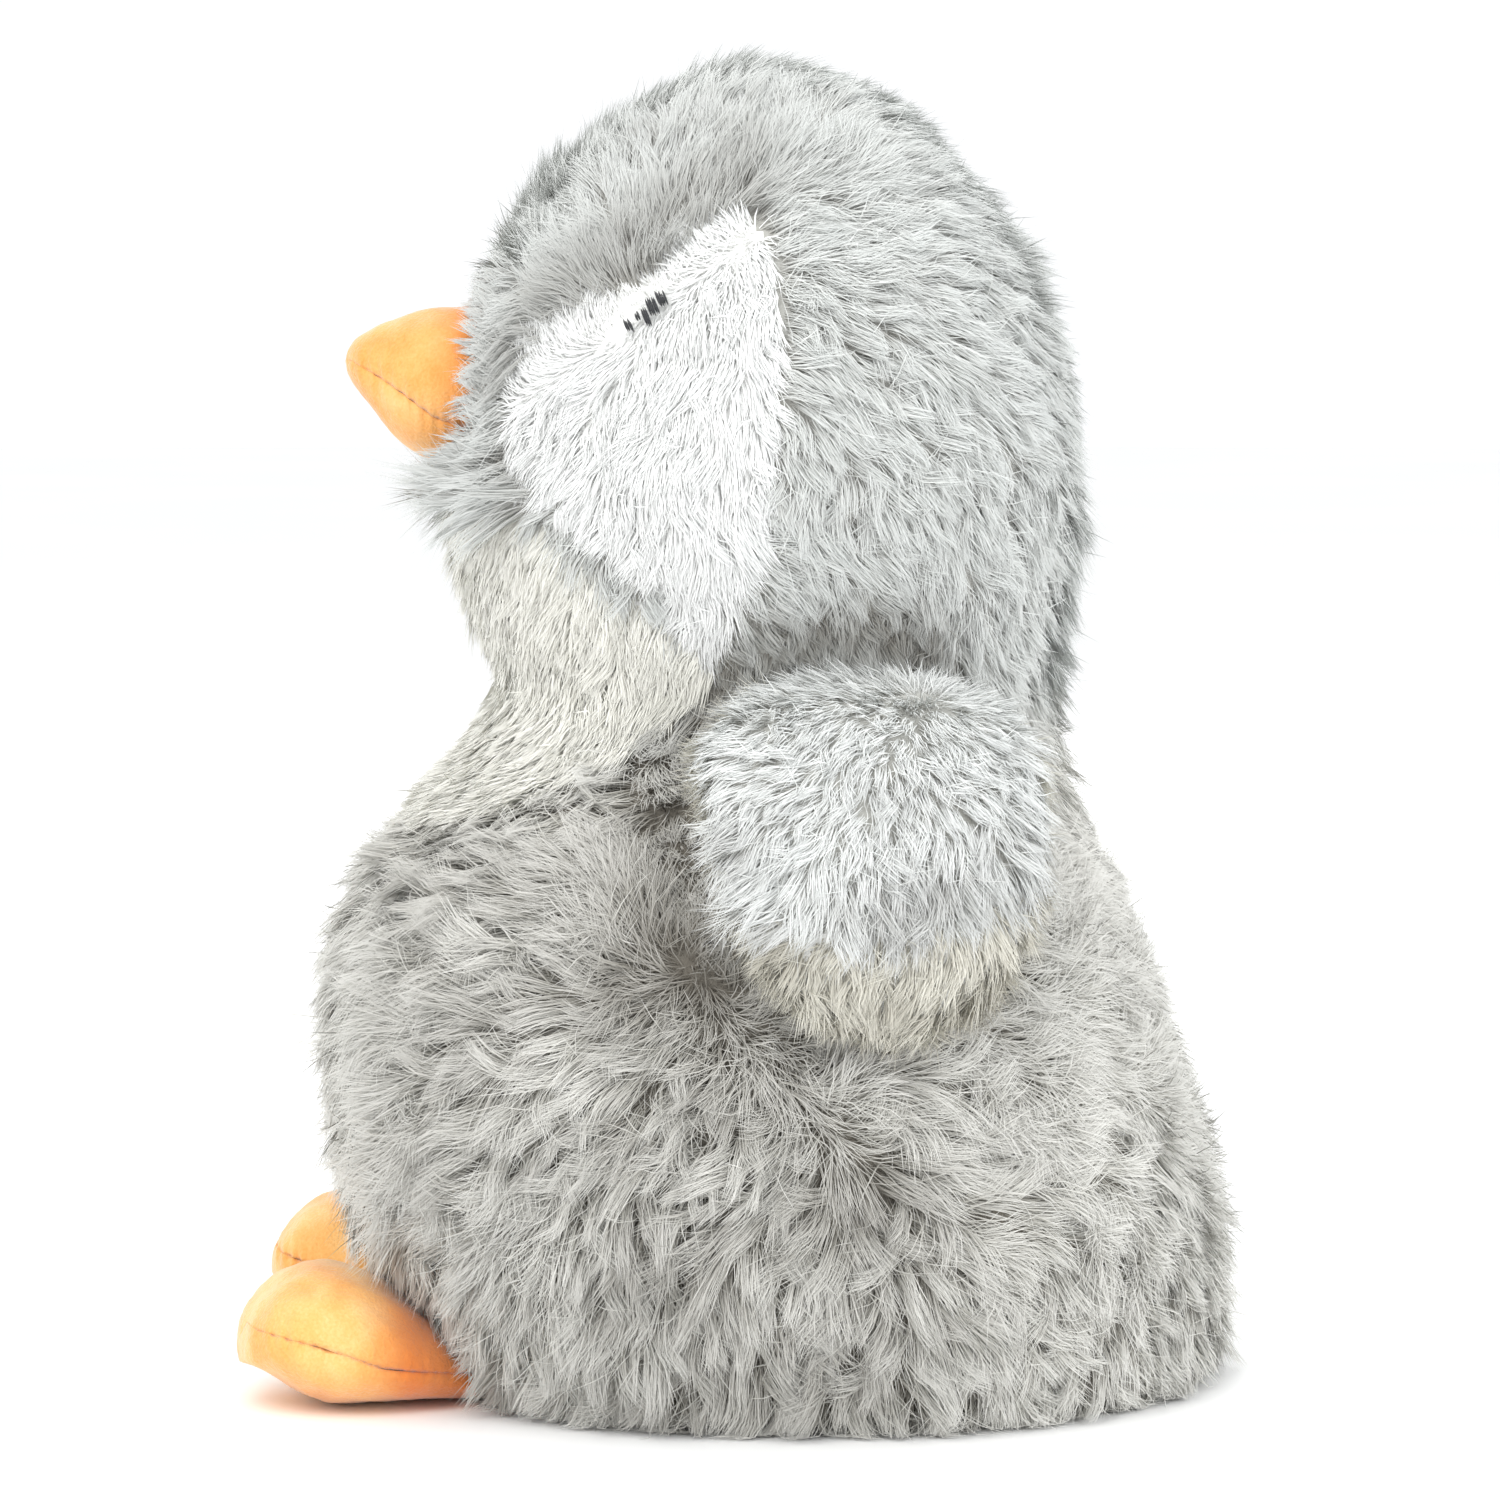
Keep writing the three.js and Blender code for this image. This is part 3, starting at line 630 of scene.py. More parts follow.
# E2702A is the colour of the orange plush's painted shade.
ORANGE_PLUSH = plush_material("orange_plush", "EA9D48", "F5B86B", "FFD08E", "E2702A")
THREAD = noisy_material(
    Shader("thread", 0.42, sheen=0.2, specular=0.45), 2600, 2, "101114", "2C2E33", 0.7, 0.6, 0.0002)
FIBRE = noisy_material(Shader("fibre", 0.95, sheen=0.3), 260, 6, "C9C8C2", "F4F4F1", 0.6, 0.8, 0.002)
POUCH_CLOTH = pouch_material()

# ---------------------------------------------------------------- how the fur lies

DOWN = np.array([0, 0, -1.0])
FORWARD = np.array([0, -1.0, 0])
PARTING = np.array([(90, -16, 96), (93, 14, 68)])
EYE_PLACE = np.array([58, -26, 233])
BEAK_BASE = np.array([0, -60, 246])     # where the fur of the crown spreads from, over the beak
BEAK_HEIGHT = 221
# Lengths of the pile.
BODY_FUR = 16.5
MUZZLE_FUR = 12
CHIN_FUR = 8            # added on the chin
CROWN_FUR = 9.5
WING_FUR_TOP = 8
WING_FUR_LOW = 12

WING_CENTRE = np.array([24, 122])
WING_REACH = 36
PATCH_BROW = np.array([0, -30, 238.5])          # a place on the nearly straight upper edge of the patch
PATCH_RISE = np.array([0, -0.586, 0.81])        # and the direction off that edge, upwards
EYE_ARC = np.array([(-27.4, 234.5), (-25.6, 238.6), (-22.6, 241.6), (-18.8, 241.9)])
EYE_TRACE = np.stack([curve_through(EYE_ARC[:, k], np.linspace(0, 1, 12)) for k in range(2)], axis=1)


def mirrored_point(point, points):
    """The point or its mirror image, whichever is on the side of each of the points."""
    return np.where(points[:, :1] < 0, point * MIRROR, point)


def away_from(source, points, certain_at):
    """Directions away from the source, shorter than 1 nearer than certain_at."""
    away = points - source
    return away / np.maximum(np.linalg.norm(away, axis=1, keepdims=True), certain_at)


def nearest_on_line(ends, points):
    """The nearest place to each point on the line between two ends, or on its mirror image."""
    start, end = (mirrored_point(p, points) for p in ends)
    line = end - start
    share = np.sum((points - start) * line, axis=1, keepdims=True) / np.sum(line**2, axis=1, keepdims=True)
    return start + line * np.clip(share, 0, 1)


def wander(points, size, seeds):
    """Slow random directions, one wave for each of X, Y and Z."""
    return np.stack([waves(points, size, seed) for seed in seeds], axis=1)


def comb_body(points, normals):
    """Body fur spreads from the parting under the wing, and falls in front, at the neck and low down."""
    source = nearest_on_line(PARTING, points)
    distance = np.linalg.norm(points - source, axis=1, keepdims=True)
    low = 1 - smoothstep(12, 48, points[:, 2:])
    high = smoothstep(104, 128, points[:, 2:])
    front = 1 - smoothstep(-90, -66, points[:, 1:2])
    pull = np.clip(1.2 - distance / 120, 0.3, 1) * (1 - 0.75 * low)
    fall = 0.32 + 1.1 * low + 1.3 * high + 0.9 * front
    return away_from(source, points, 12) * pull + DOWN * fall + wander(points, 26, (21, 22, 23)) * 0.32


def comb_crown(points, normals):
    """Over the head the fur lies backwards from the beak."""
    fall = 0.2 + 0.8 * (1 - smoothstep(180, 270, points[:, 2:]))
    return away_from(BEAK_BASE, points, 10) + DOWN * fall + wander(points, 30, (24, 25, 26)) * 0.2


def from_eye(points):
    return away_from(mirrored_point(EYE_PLACE, points), points, 10)


def comb_head(points, normals):
    fall = 0.75 * smoothstep(-12, 22, points[:, 1:2]) + 0.3 * (1 - smoothstep(150, 200, points[:, 2:]))
    return from_eye(points) + DOWN * fall + wander(points, 30, (24, 25, 26)) * 0.2


def comb_muzzle(points, normals):
    return from_eye(points) + FORWARD * 0.9


def above_patch(points):
    """How far each point is above the upper edge of the white patch."""
    return (points - PATCH_BROW) @ PATCH_RISE


def brow(points):
    """1 on the brow, where fur stands up along the upper edge of the patch, and 0 elsewhere."""
    height = above_patch(points)
    across = smoothstep(-62, -46, points[:, 1]) * (1 - smoothstep(-6, 8, points[:, 1]))
    beside = smoothstep(20, 38, np.abs(points[:, 0]))
    return smoothstep(-3, 0, height) * (1 - smoothstep(6, 16, height)) * across * beside


def comb_patch(points, normals):
    """Down and forwards, but up along the patch's upper edge, where its fur meets the brow's."""
    y = points[:, 1:2]
    fall = DOWN + FORWARD * (0.75 - 0.8 * smoothstep(-40, -8, y) - 0.3 * smoothstep(-8, 2, y))
    edge = smoothstep(-7, -3, above_patch(points))[:, None]
    return fall * (1 - edge) + PATCH_RISE * edge


def comb_bib(points, normals):
    return DOWN + FORWARD * 0.12


def round_wing(points):
    """How far each point is from the middle of the wing, seen from the side."""
    return np.hypot(points[:, 1] - WING_CENTRE[0], points[:, 2] - WING_CENTRE[1])


def under_wing(points, normals):
    """Fur is pressed short where a wing lies on it."""
    return 0.3 + 0.7 * smoothstep(WING_REACH, WING_REACH + 14, round_wing(points))


def beside_wing(points, normals):
    """A ring round the wing, for painted shade and shorter fur in the crease: in front of it, under it and,
    widest, above it.
    """
    reach = round_wing(points) - WING_REACH
    above = smoothstep(138, 156, points[:, 2]) * (1 - smoothstep(36, 50, points[:, 1]))
    ahead = (1 - smoothstep(-2, 24, points[:, 1])) * smoothstep(60, 90, points[:, 2])
    return np.maximum(peak(reach, 14, 9) * above, peak(reach, 8, 8) * ahead * 0.7)


def above_wing(points, normals):
    """Fur is shorter in the crease over a wing, so that the crease shows."""
    return 1 - 0.5 * beside_wing(points, normals)


def round_beak(points, normals):
    """Close round the beak the pile is shorter and in tufts, so that the beak shows between them."""
    near = beak_root(points)
    gaps = (near > 0.4) & (waves(points, 8, 42) < 0)
    under = 1 - smoothstep(196, 201, points[:, 2])
    return np.maximum(np.where(gaps, 0.25, 1 - 0.35 * near), under)


def body_length(points):
    """Longest low on the body, shorter under the throat and over the feet."""
    throat = smoothstep(112, 130, points[:, 2]) * (1 - smoothstep(-30, 10, points[:, 1]))
    instep = (1 - smoothstep(28, 40, points[:, 2])) * (1 - smoothstep(-66, -48, points[:, 1]))
    behind = smoothstep(40, 84, points[:, 1])
    return BODY_FUR * (1 - 0.4 * throat) * (1 - 0.45 * instep) * (1 - 0.22 * behind)


def body_lift(points):
    """Steeper at the sides, and lying flat down the back."""
    below_neck = 1 - 0.7 * smoothstep(118, 136, points[:, 2])
    flat = smoothstep(25, 75, points[:, 1]) * below_neck + 0.9 * (1 - smoothstep(-88, -60, points[:, 1]))
    return 42 - 22 * flat, 11 - 10 * flat


def chin(points):
    """1 on the chin, below the beak, and 0 beside and above it."""
    return 1 - smoothstep(201, 211, points[:, 2])


def beak_root(points):
    """1 close round the root of the beak, and 0 further out."""
    return 1 - smoothstep(22, 34, np.hypot(points[:, 0], points[:, 2] - BEAK_HEIGHT))


def muzzle_length(points):
    return MUZZLE_FUR + CHIN_FUR * chin(points)


def muzzle_lift(points):
    steep = np.maximum(chin(points), beak_root(points))
    return 26 + 40 * steep, 4 + 40 * steep - 8 * chin(points)


def standing(points):
    """1 down the back of the head, where fur stands further out, less on the forehead, and 0 elsewhere."""
    behind = smoothstep(24, 56, points[:, 1]) * (1 - smoothstep(244, 262, points[:, 2]))
    forehead = 0.7 * (1 - smoothstep(-48, -24, points[:, 1])) * smoothstep(234, 242, points[:, 2])
    return np.maximum(behind, forehead)


def head_lift(points):
    return 36 + 18 * brow(points), 8 + 16 * brow(points)


def crown_lift(points):
    return 34 + 16 * standing(points), 6 + 14 * standing(points)


def crown_length(points):
    return CROWN_FUR + 2 * standing(points)


def shaded(points, normals):
    """Painted shade: darker fur in the creases beside the wings, under the throat, low on the flanks, along
    the brow and, a little, over the crown.
    """
    x, y, z = points.T
    chest = peak(z, 116, 13) * (1 - smoothstep(-18, 4, y)) * smoothstep(-82, -60, y)
    flank = (1 - smoothstep(92, 118, z)) * smoothstep(-86, -50, y) * (1 - smoothstep(20, 74, y))
    crown = smoothstep(250, 280, z) * smoothstep(20, 30, np.abs(x))
    ring = beside_wing(points, normals) * (0.85 + 0.3 * waves(points, 9, 28))
    dark = np.maximum(np.maximum(ring, 0.3 * chest), 0.5 * brow(points))
    return np.clip(dark + 0.5 * flank * (0.55 + 0.45 * waves(points, 22, 27)) + 0.12 * crown, 0, 1)


def clear_of_eye(points, normals):
    """Pile is kept off the stitches of the eye, but for a few tufts across them."""
    reach = np.min(np.hypot(points[:, 1:2] - EYE_TRACE[:, 0], points[:, 2:] - EYE_TRACE[:, 1]), axis=1)
    tufts = waves(points, 3.4, 41) > 0.45
    return np.where((reach < 1.8) & ~tufts, 0, 0.45 + 0.55 * smoothstep(2, 8, reach))


BODY_COAT = Coat(
    length=body_length, lift=body_lift, density=2.7, width=0.24, lock=4.0, unruly=19, gather=0.84, curl=18)
SHORT_PILE = dict(
    length=8, density=4.2, gather=0.12, width=0.34, segments=2, strays=0.02, swirl=8, uneven=2.5)
HEAD_PILE = dict(density=3.3, width=0.22, segments=2, uneven=6)
COATS = {
    "crown_gusset": Coat(
        length=crown_length, lift=crown_lift, lock=3.2, unruly=9, gather=0.5, curl=8, **HEAD_PILE),
    "head_side": Coat(length=11, lift=head_lift, lock=3.4, unruly=12, gather=0.55, **HEAD_PILE),
    "muzzle": Coat(
        length=muzzle_length, lift=muzzle_lift, density=2.6, lock=3.6, gather=0.8, width=0.24, unruly=16),
    "face_patch": Coat(lift=(26, 8), lock=3.4, unruly=7, stand=4, **SHORT_PILE),
    "throat_bib": Coat(lift=(42, 14), lock=3.6, unruly=6, **SHORT_PILE),
}
COMBS = {
    "crown_gusset": comb_crown, "head_side": comb_head, "muzzle": comb_muzzle, "face_patch": comb_patch,
    "throat_bib": comb_bib,
}
KEEPS = {
    "body_side": under_wing, "face_patch": clear_of_eye, "muzzle": round_beak, "crown_gusset": round_beak,
    "head_side": above_wing,
}


# ---------------------------------------------------------------- head and body

FORM_ROWS = 210
FORM_COLUMNS = 290


def form_surface():
    angles = np.linspace(0, 2 * math.pi, FORM_COLUMNS, endpoint=False)
    t, angle = np.meshgrid(np.linspace(0, 1, FORM_ROWS), angles, indexing="ij")
    return Surface(form_point(t.ravel(), angle.ravel()), grid_quads(FORM_ROWS, FORM_COLUMNS, True))


def panels(points):
    """The name of the panel that each point is on."""
    x, y, z = points.T
    patch = inside(PATCH_CURVE, y, z)
    bib = inside(BIB_CURVE, y, z) & ~patch
    muzzle = inside(MUZZLE_CURVE, y, z) & ~patch & ~bib
    head = z > NECK_HEIGHT
    bearing = np.degrees(np.arctan2(np.abs(x), -(y - BODY_MIDDLE_Y)))
    side = np.where(x > 0, "left", "right")

    def sided(stem):
        return np.char.add(stem + "_", side)

    return np.select(
        [patch, bib, muzzle, head & (np.abs(x) < GUSSET_HALF_WIDTH), head, bearing < BELLY_EDGE,
         bearing < SIDE_EDGE],
        [sided("face_patch"), "throat_bib", "muzzle", "crown_gusset", sided("head_side"), "belly_panel",
         sided("body_side")],
        sided("back"),
    )


# The slot, backing cloth and fur of each kind of panel that isn't grey body fur.
PANEL_LOOKS = {
    "face_patch": ("white_fur", WHITE_CLOTH, WHITE_FUR),
    "throat_bib": ("throat_fur", WHITE_CLOTH, THROAT_FUR),
    **dict.fromkeys(("crown_gusset", "head_side", "muzzle"), ("grey_fur", PALE_CLOTH, GREY_FUR)),
}
GREY_LOOKS = ("grey_fur", GREY_CLOTH, GREY_FUR)
SKIN = 1.5
RIM_POINTS = 120
# Rings of the base, as a share of the way out from its middle, and height.
BASE_RINGS = ((0.02, 0.6), (0.3, 0.5), (0.6, 0.4), (0.85, 0.3), (0.97, 0.5), (1, 1.4))


def declare(piece, body, node):
    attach(piece, body)
    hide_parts(node)


def build_panels():
    form = form_surface()
    names = panels(form.centres())
    for seed, node in enumerate(sorted(set(names)), start=100):
        kind = node.replace("_left", "").replace("_right", "")
        slot, cloth, look = PANEL_LOOKS.get(kind, GREY_LOOKS)
        surface = form.part(names == node)
        coat, comb = COATS.get(kind, BODY_COAT), COMBS.get(kind, comb_body)
        fur = grow(surface, coat, comb, seed, KEEPS.get(kind), shaded)
        piece = furry_piece(node + "_fur", surface, SKIN, fur, cloth, look)
        declare(piece, "torso", node)


def build_base():
    """The flat panel underneath, in plain cloth, turned up at its edge."""
    angle = np.linspace(0, 2 * math.pi, RIM_POINTS, endpoint=False)
    rim = form_point(np.zeros(RIM_POINTS), angle)
    middle = rim.mean(axis=0)
    arm = rim - middle
    reach = np.linalg.norm(arm, axis=1, keepdims=True)
    arm = arm / reach * (reach - BASE_INSET)
    rows = [middle + arm * share + np.array([0, 0, height]) for share, height in BASE_RINGS]
    surface = Surface(np.concatenate(rows), grid_quads(len(rows), RIM_POINTS, True))
    points, quads = shell(surface.turned_over(surface.normals[:, 2].mean() > 0), SKIN)
    piece = make_quads("base_cloth", points, quads)
    piece.data.materials.append(BASE_CLOTH)
    declare(piece, "torso", "base_panel")


# ---------------------------------------------------------------- beak and feet: seamed pads

# Sections of the beak from root to tip: y, height of the middle, reach up and down, and half width.
BEAK_SECTIONS = np.array([
    (-50, 221, 18.5, 19), (-58, 221, 18.3, 18.6), (-66, 221, 18, 18), (-73, 221.6, 16.6, 16.5),
    (-79, 222.6, 13.8, 13.5), (-84, 224.6, 9.8, 10), (-88, 226, 6, 6.4), (-90.2, 226.6, 2.8, 2.8),
    (-90.8, 226.7, 0.3, 0.3),
])
MOUTH_LINE = np.array([(-96, 229), (-89, 227), (-80, 221.5), (-70, 214), (-45, 206)])
BEAK_PUCKER = 0.3

FOOT_X = 43
FOOT_REAR = -62
FOOT_TIP = -113
FOOT_SPLAY = math.radians(12)
# Sections of a foot: share of the way from its rear edge to the toes, height of the top, and half width.
FOOT_SECTIONS = np.array([
    (0, 12, 14), (0.22, 20.5, 20), (0.42, 27.5, 23.5), (0.62, 30.5, 24.5), (0.8, 28.5, 22),
    (0.93, 22.5, 15.5), (0.985, 17.5, 8), (1, 14, 0.4),
])
FOOT_SEAM = np.array([(-130, 19), (-112, 19), (-98, 16), (-84, 11), (-68, 8), (-50, 6.5)])
FOOT_FLOOR = 0.4
FOOT_ROUNDNESS = 2.15
TOE_RISE = 9
TOE_CREASE = -97
TOE_CREASE_DEPTH = 0.8
TOE_CREASE_REACH = 2.2

PAD_ROWS = 110
PAD_HALF = 48           # points across each half of a pad
PLUSH_THICKNESS = 1.2
SEAM_PRESS = 0.45       # how deep a seam is drawn in, once close to it and once wider
SEAM_REACHES = (0.9, 3)
PUCKER_SPACING = 2.7
PUCKER_REACH = 2.6


def seam_height(line, y):
    order = np.argsort(line[:, 0])
    return np.interp(y, line[order, 0], line[order, 1])


def seamed_pad(y, centre, up, down, wide, seam, pucker, roundness=2.0, crease=None):
    """Two surfaces, above and below a seam, of a stuffed pad whose sections run along Y. y, centre, up,
    down and wide give each row its place, middle height, reach up and down, and half width. crease, where
    given, is how far each row of the lower half is drawn in."""
    tilt = np.arcsin(np.clip((seam - centre) / np.where(seam > centre, up, down), -0.97, 0.97))
    halves = []
    for upper in (True, False):
        share = np.linspace(0, 1, PAD_HALF)[None]
        start, end = (tilt, math.pi - tilt) if upper else (math.pi - tilt, 2 * math.pi + tilt)
        angle = start[:, None] + (end - start)[:, None] * share
        edge = np.minimum(share, 1 - share) * np.abs(end - start)[:, None] * wide[:, None]
        press = SEAM_PRESS * sum(peak(edge, 0, reach) for reach in SEAM_REACHES)
        folds = np.sin(y * 2 * math.pi / PUCKER_SPACING)[:, None] * np.exp(-edge / PUCKER_REACH)
        drawn = 0 if upper or crease is None else crease[:, None]
        size = 1 - (press + folds * pucker[:, None] + drawn) / np.maximum(wide[:, None], 2.5)
        power = 2 / roundness
        x = wide[:, None] * signed_power(np.cos(angle), power) * size
        reach = np.where(np.sin(angle) > 0, up[:, None], down[:, None])
        z = centre[:, None] + reach * signed_power(np.sin(angle), power) * size
        halves.append(np.stack([x, y[:, None] * np.ones_like(x), z], axis=-1))
    return halves


def pad_surface(points):
    rows, columns = points.shape[:2]
    flat = points.reshape(-1, 3)
    surface = Surface(flat, grid_quads(rows, columns, False))
    outward = np.sum(surface.normals * (flat - flat.mean(axis=0)), axis=1).mean()
    return surface.turned_over(outward < 0)


def plush_piece(name, surface, depth, body, node):
    """A padded half, slightly uneven. depth is how much deeper than the rest each point's colour is, mostly
    painted shade.
    """
    wobble = waves(surface.points, 9, 31) * 0.16 + waves(surface.points, 3.2, 32) * 0.05
    surface.points = surface.points + surface.normals * wobble[:, None]
    points, quads = shell(surface, PLUSH_THICKNESS)
    piece = make_quads(name, points, quads, attributes={"dark": np.tile(depth, 2)})
    piece.data.materials.append(ORANGE_PLUSH)
    declare(piece, body, node)


def build_beak():
    t = np.linspace(0, 1, PAD_ROWS) ** 0.8
    y, centre, high, wide = (curve_through(BEAK_SECTIONS[:, k], t) for k in range(4))
    seam = seam_height(MOUTH_LINE, y)
    pucker = BEAK_PUCKER * smoothstep(-91, -86, y)
    upper, lower = seamed_pad(y, centre, high, high, np.maximum(wide, 0.2), seam, pucker)
    for half, name, node in ((upper, "beak_top", "beak_upper"), (lower, "beak_bottom", "beak_lower")):
        surface = pad_surface(half)
        # Painted shade towards the root of the beak, where it meets the fur, over a slight deepening all
        # over.
        depth = 0.16 + 0.44 * smoothstep(-72, -60, surface.points[:, 1])
        plush_piece(name, surface, depth, "torso", node)


def placed_foot(points):
    """A foot built along -Y, splayed out and put under the left side of the belly."""
    x, y, z = points[..., 0], points[..., 1] - FOOT_REAR, points[..., 2]
    c, s = math.cos(FOOT_SPLAY), math.sin(FOOT_SPLAY)
    return np.stack([x * c - y * s + FOOT_X, x * s + y * c + FOOT_REAR, z], axis=-1)


def build_feet():
    t = np.linspace(0, 1, PAD_ROWS)
    share, top, wide = (curve_through(FOOT_SECTIONS[:, k], t) for k in range(3))
    y = FOOT_REAR + (FOOT_TIP - FOOT_REAR) * share
    bottom = FOOT_FLOOR + TOE_RISE * smoothstep(0.62, 1, share)
    centre = bottom + (top - bottom) * 0.42
    seam = seam_height(FOOT_SEAM, y)
    pucker = 0.15 + 0.5 * smoothstep(-92, -108, y)
    up, down, wide = (np.maximum(reach, 0.3) for reach in (top - centre, centre - bottom, wide))
    crease = TOE_CREASE_DEPTH * peak(y, TOE_CREASE, TOE_CREASE_REACH)
    upper, lower = seamed_pad(y, centre, up, down, wide, seam, pucker, FOOT_ROUNDNESS, crease)
    for half, kind in ((upper, "upper"), (lower, "sole")):
        half = placed_foot(half)
        half[..., 2] = np.maximum(half[..., 2], 0.3)
        for side, sign in (("left", 1), ("right", -1)):
            surface = pad_surface(half * np.array([sign, 1, 1]))
            # Painted shade at the rear of the foot, under the belly, and low down by the floor.
            depth = smoothstep(-86, -72, surface.points[:, 1]) * 0.75
            depth = np.maximum(depth, 0.2 * (1 - smoothstep(0, 9, surface.points[:, 2])))
            node = f"foot_{side}_{kind}"
            plush_piece(node + "_plush", surface, depth, f"foot_{side}", node)


# ---------------------------------------------------------------- wings

WING_ROOT_Y = 22
WING_YAW = math.radians(12)
WING_CURVE = np.array([(61.6, 157), (84, 152), (99, 90)])      # x and z of the root, shoulder and tip
WING_LENGTH = 77
WING_HALF_WIDTHS = (19, 35)             # at the root, and at its widest
WING_HALF_THICKNESSES = (3, 12)
WING_ROWS = 60
WING_COLUMNS = 60
WING_SKIN = 1.0
LIMB_CLEARANCE = 0.7
LINING_TOP = 110        # the lining turns up round the wing's lower edge to this height, and
LINING_CORNER = 10      # this much higher at its front and rear


def bent_along_wing(width, length, thickness):
    """Places given across, along and out from the wing's bent middle surface."""
    t = (length / WING_LENGTH)[..., None]
    root, shoulder, tip = WING_CURVE
    place = (1 - t) ** 2 * root + 2 * t * (1 - t) * shoulder + t**2 * tip
    along = unit(2 * (1 - t) * (shoulder - root) + 2 * t * (tip - shoulder))
    x = place[..., 0] - along[..., 1] * thickness - root[0]
    z = place[..., 1] + along[..., 0] * thickness
    c, s = math.cos(WING_YAW), math.sin(WING_YAW)
    return np.stack([x * c - width * s + root[0], x * s + width * c + WING_ROOT_Y, z], axis=-1)


def wing_surfaces():
    """The grey outer face, and the cream lining, which turns up round the lower edge."""
    outer, inner = wing_half(True), wing_half(False)
    y, z = outer.centres()[:, 1:].T
    lower_rim = z < LINING_TOP + LINING_CORNER * ((y - WING_CENTRE[0]) / WING_REACH) ** 2
    rim = outer.part(lower_rim)
    quads = np.concatenate([inner.quads, rim.quads + len(inner.points)])
    return outer.part(~lower_rim), Surface(np.concatenate([inner.points, rim.points]), quads)


def wing_half(outer):
    """The outer or inner face of the left wing, which swells below its root and closes round at its tip."""
    t = 0.5 - 0.5 * np.cos(math.pi * np.linspace(0, 1, WING_ROWS))
    swell = smoothstep(0, 0.42, t)
    closing = np.maximum(0.004, 1 - np.maximum(0, (t - 0.45) / 0.55) ** 2.5) ** 0.42
    wide, thick = (
        (root + (full - root) * swell) * closing for root, full in (WING_HALF_WIDTHS, WING_HALF_THICKNESSES)
    )
    angle = np.linspace(0, math.pi, WING_COLUMNS) * (1 if outer else -1)
    width = wide[:, None] * np.cos(angle)
    length = (t * WING_LENGTH)[:, None] * np.ones_like(width)
    points = bent_along_wing(width, length, thick[:, None] * np.sin(angle))
    edge = form_half_width(points[..., 1], points[..., 2])
    points[..., 0] = np.maximum(points[..., 0], edge + LIMB_CLEARANCE)
    surface = Surface(points.reshape(-1, 3), grid_quads(WING_ROWS, WING_COLUMNS, False))
    return surface.turned_over((surface.normals[:, 0].mean() > 0) != outer)


WING_WHORL = np.array([76, 38, 161])


def comb_wing(points, normals):
    """Fur spreads from a whorl high on the wing."""
    return away_from(mirrored_point(WING_WHORL, points), points, 9) + DOWN * 0.1


def wing_shade(points, normals):
    """Painted shade: the wing is warmer and a little darker low down, with shaded hollows among the cream
    fur of its edge.
    """
    low = 1 - smoothstep(106, 150, points[:, 2])
    return np.clip(0.3 * low + 0.25 * low * waves(points, 16, 29), 0, 1)


def wing_length(points):
    return WING_FUR_LOW + (WING_FUR_TOP - WING_FUR_LOW) * smoothstep(118, 142, points[:, 2])


WING_COAT = Coat(
    length=wing_length, lift=(30, 12), lock=2.8, unruly=13, density=3.3, width=0.22, gather=0.5, segments=2,
    stand=6, scatter=60)
LINING_COAT = Coat(
    length=10, lift=(32, 8), lock=3.2, density=3, width=0.24, gather=0.4, unruly=12, segments=2, stand=0)


def build_wings():
    outer, lining = wing_surfaces()
    for surface, kind, coat, slot, cloth, look in (
        (outer, "outer", WING_COAT, "grey_fur", PALE_CLOTH, WING_FUR),
        (lining, "lining", LINING_COAT, "cream_fur", WHITE_CLOTH, CREAM_FUR),
    ):
        for seed, side in enumerate(("left", "right"), start=300 if kind == "outer" else 310):
            half = surface if side == "left" else surface.mirrored()
            fur = grow(half, coat, comb_wing, seed, shade=wing_shade)
            node = f"wing_{side}_{kind}"
            piece = furry_piece(node + "_fur", half, WING_SKIN, fur, cloth, look)
            declare(piece, f"wing_{side}", node)


# ---------------------------------------------------------------- eyes

STITCH_RADIUS = 0.27
STITCH_GAP = 0.42
STITCH_SLANT = np.array([-0.4, 1.0])
EYE_LIFT = 3.8          # how far the stitches stand off the fabric, in the pile
STITCH_ROWS = 7
STITCH_SIDES = 6
# Groups of satin stitches seen from the side: y and z of the middle, length, and number of stitches.
STITCH_GROUPS = [
    (-25.9, 235.6, 2.5, 4), (-24.0, 237.6, 2.0, 2), (-22.1, 237.5, 4.0, 3), (-20.8, 239.8, 4.3, 5),
    (-18.9, 241.3, 3.2, 5),
]


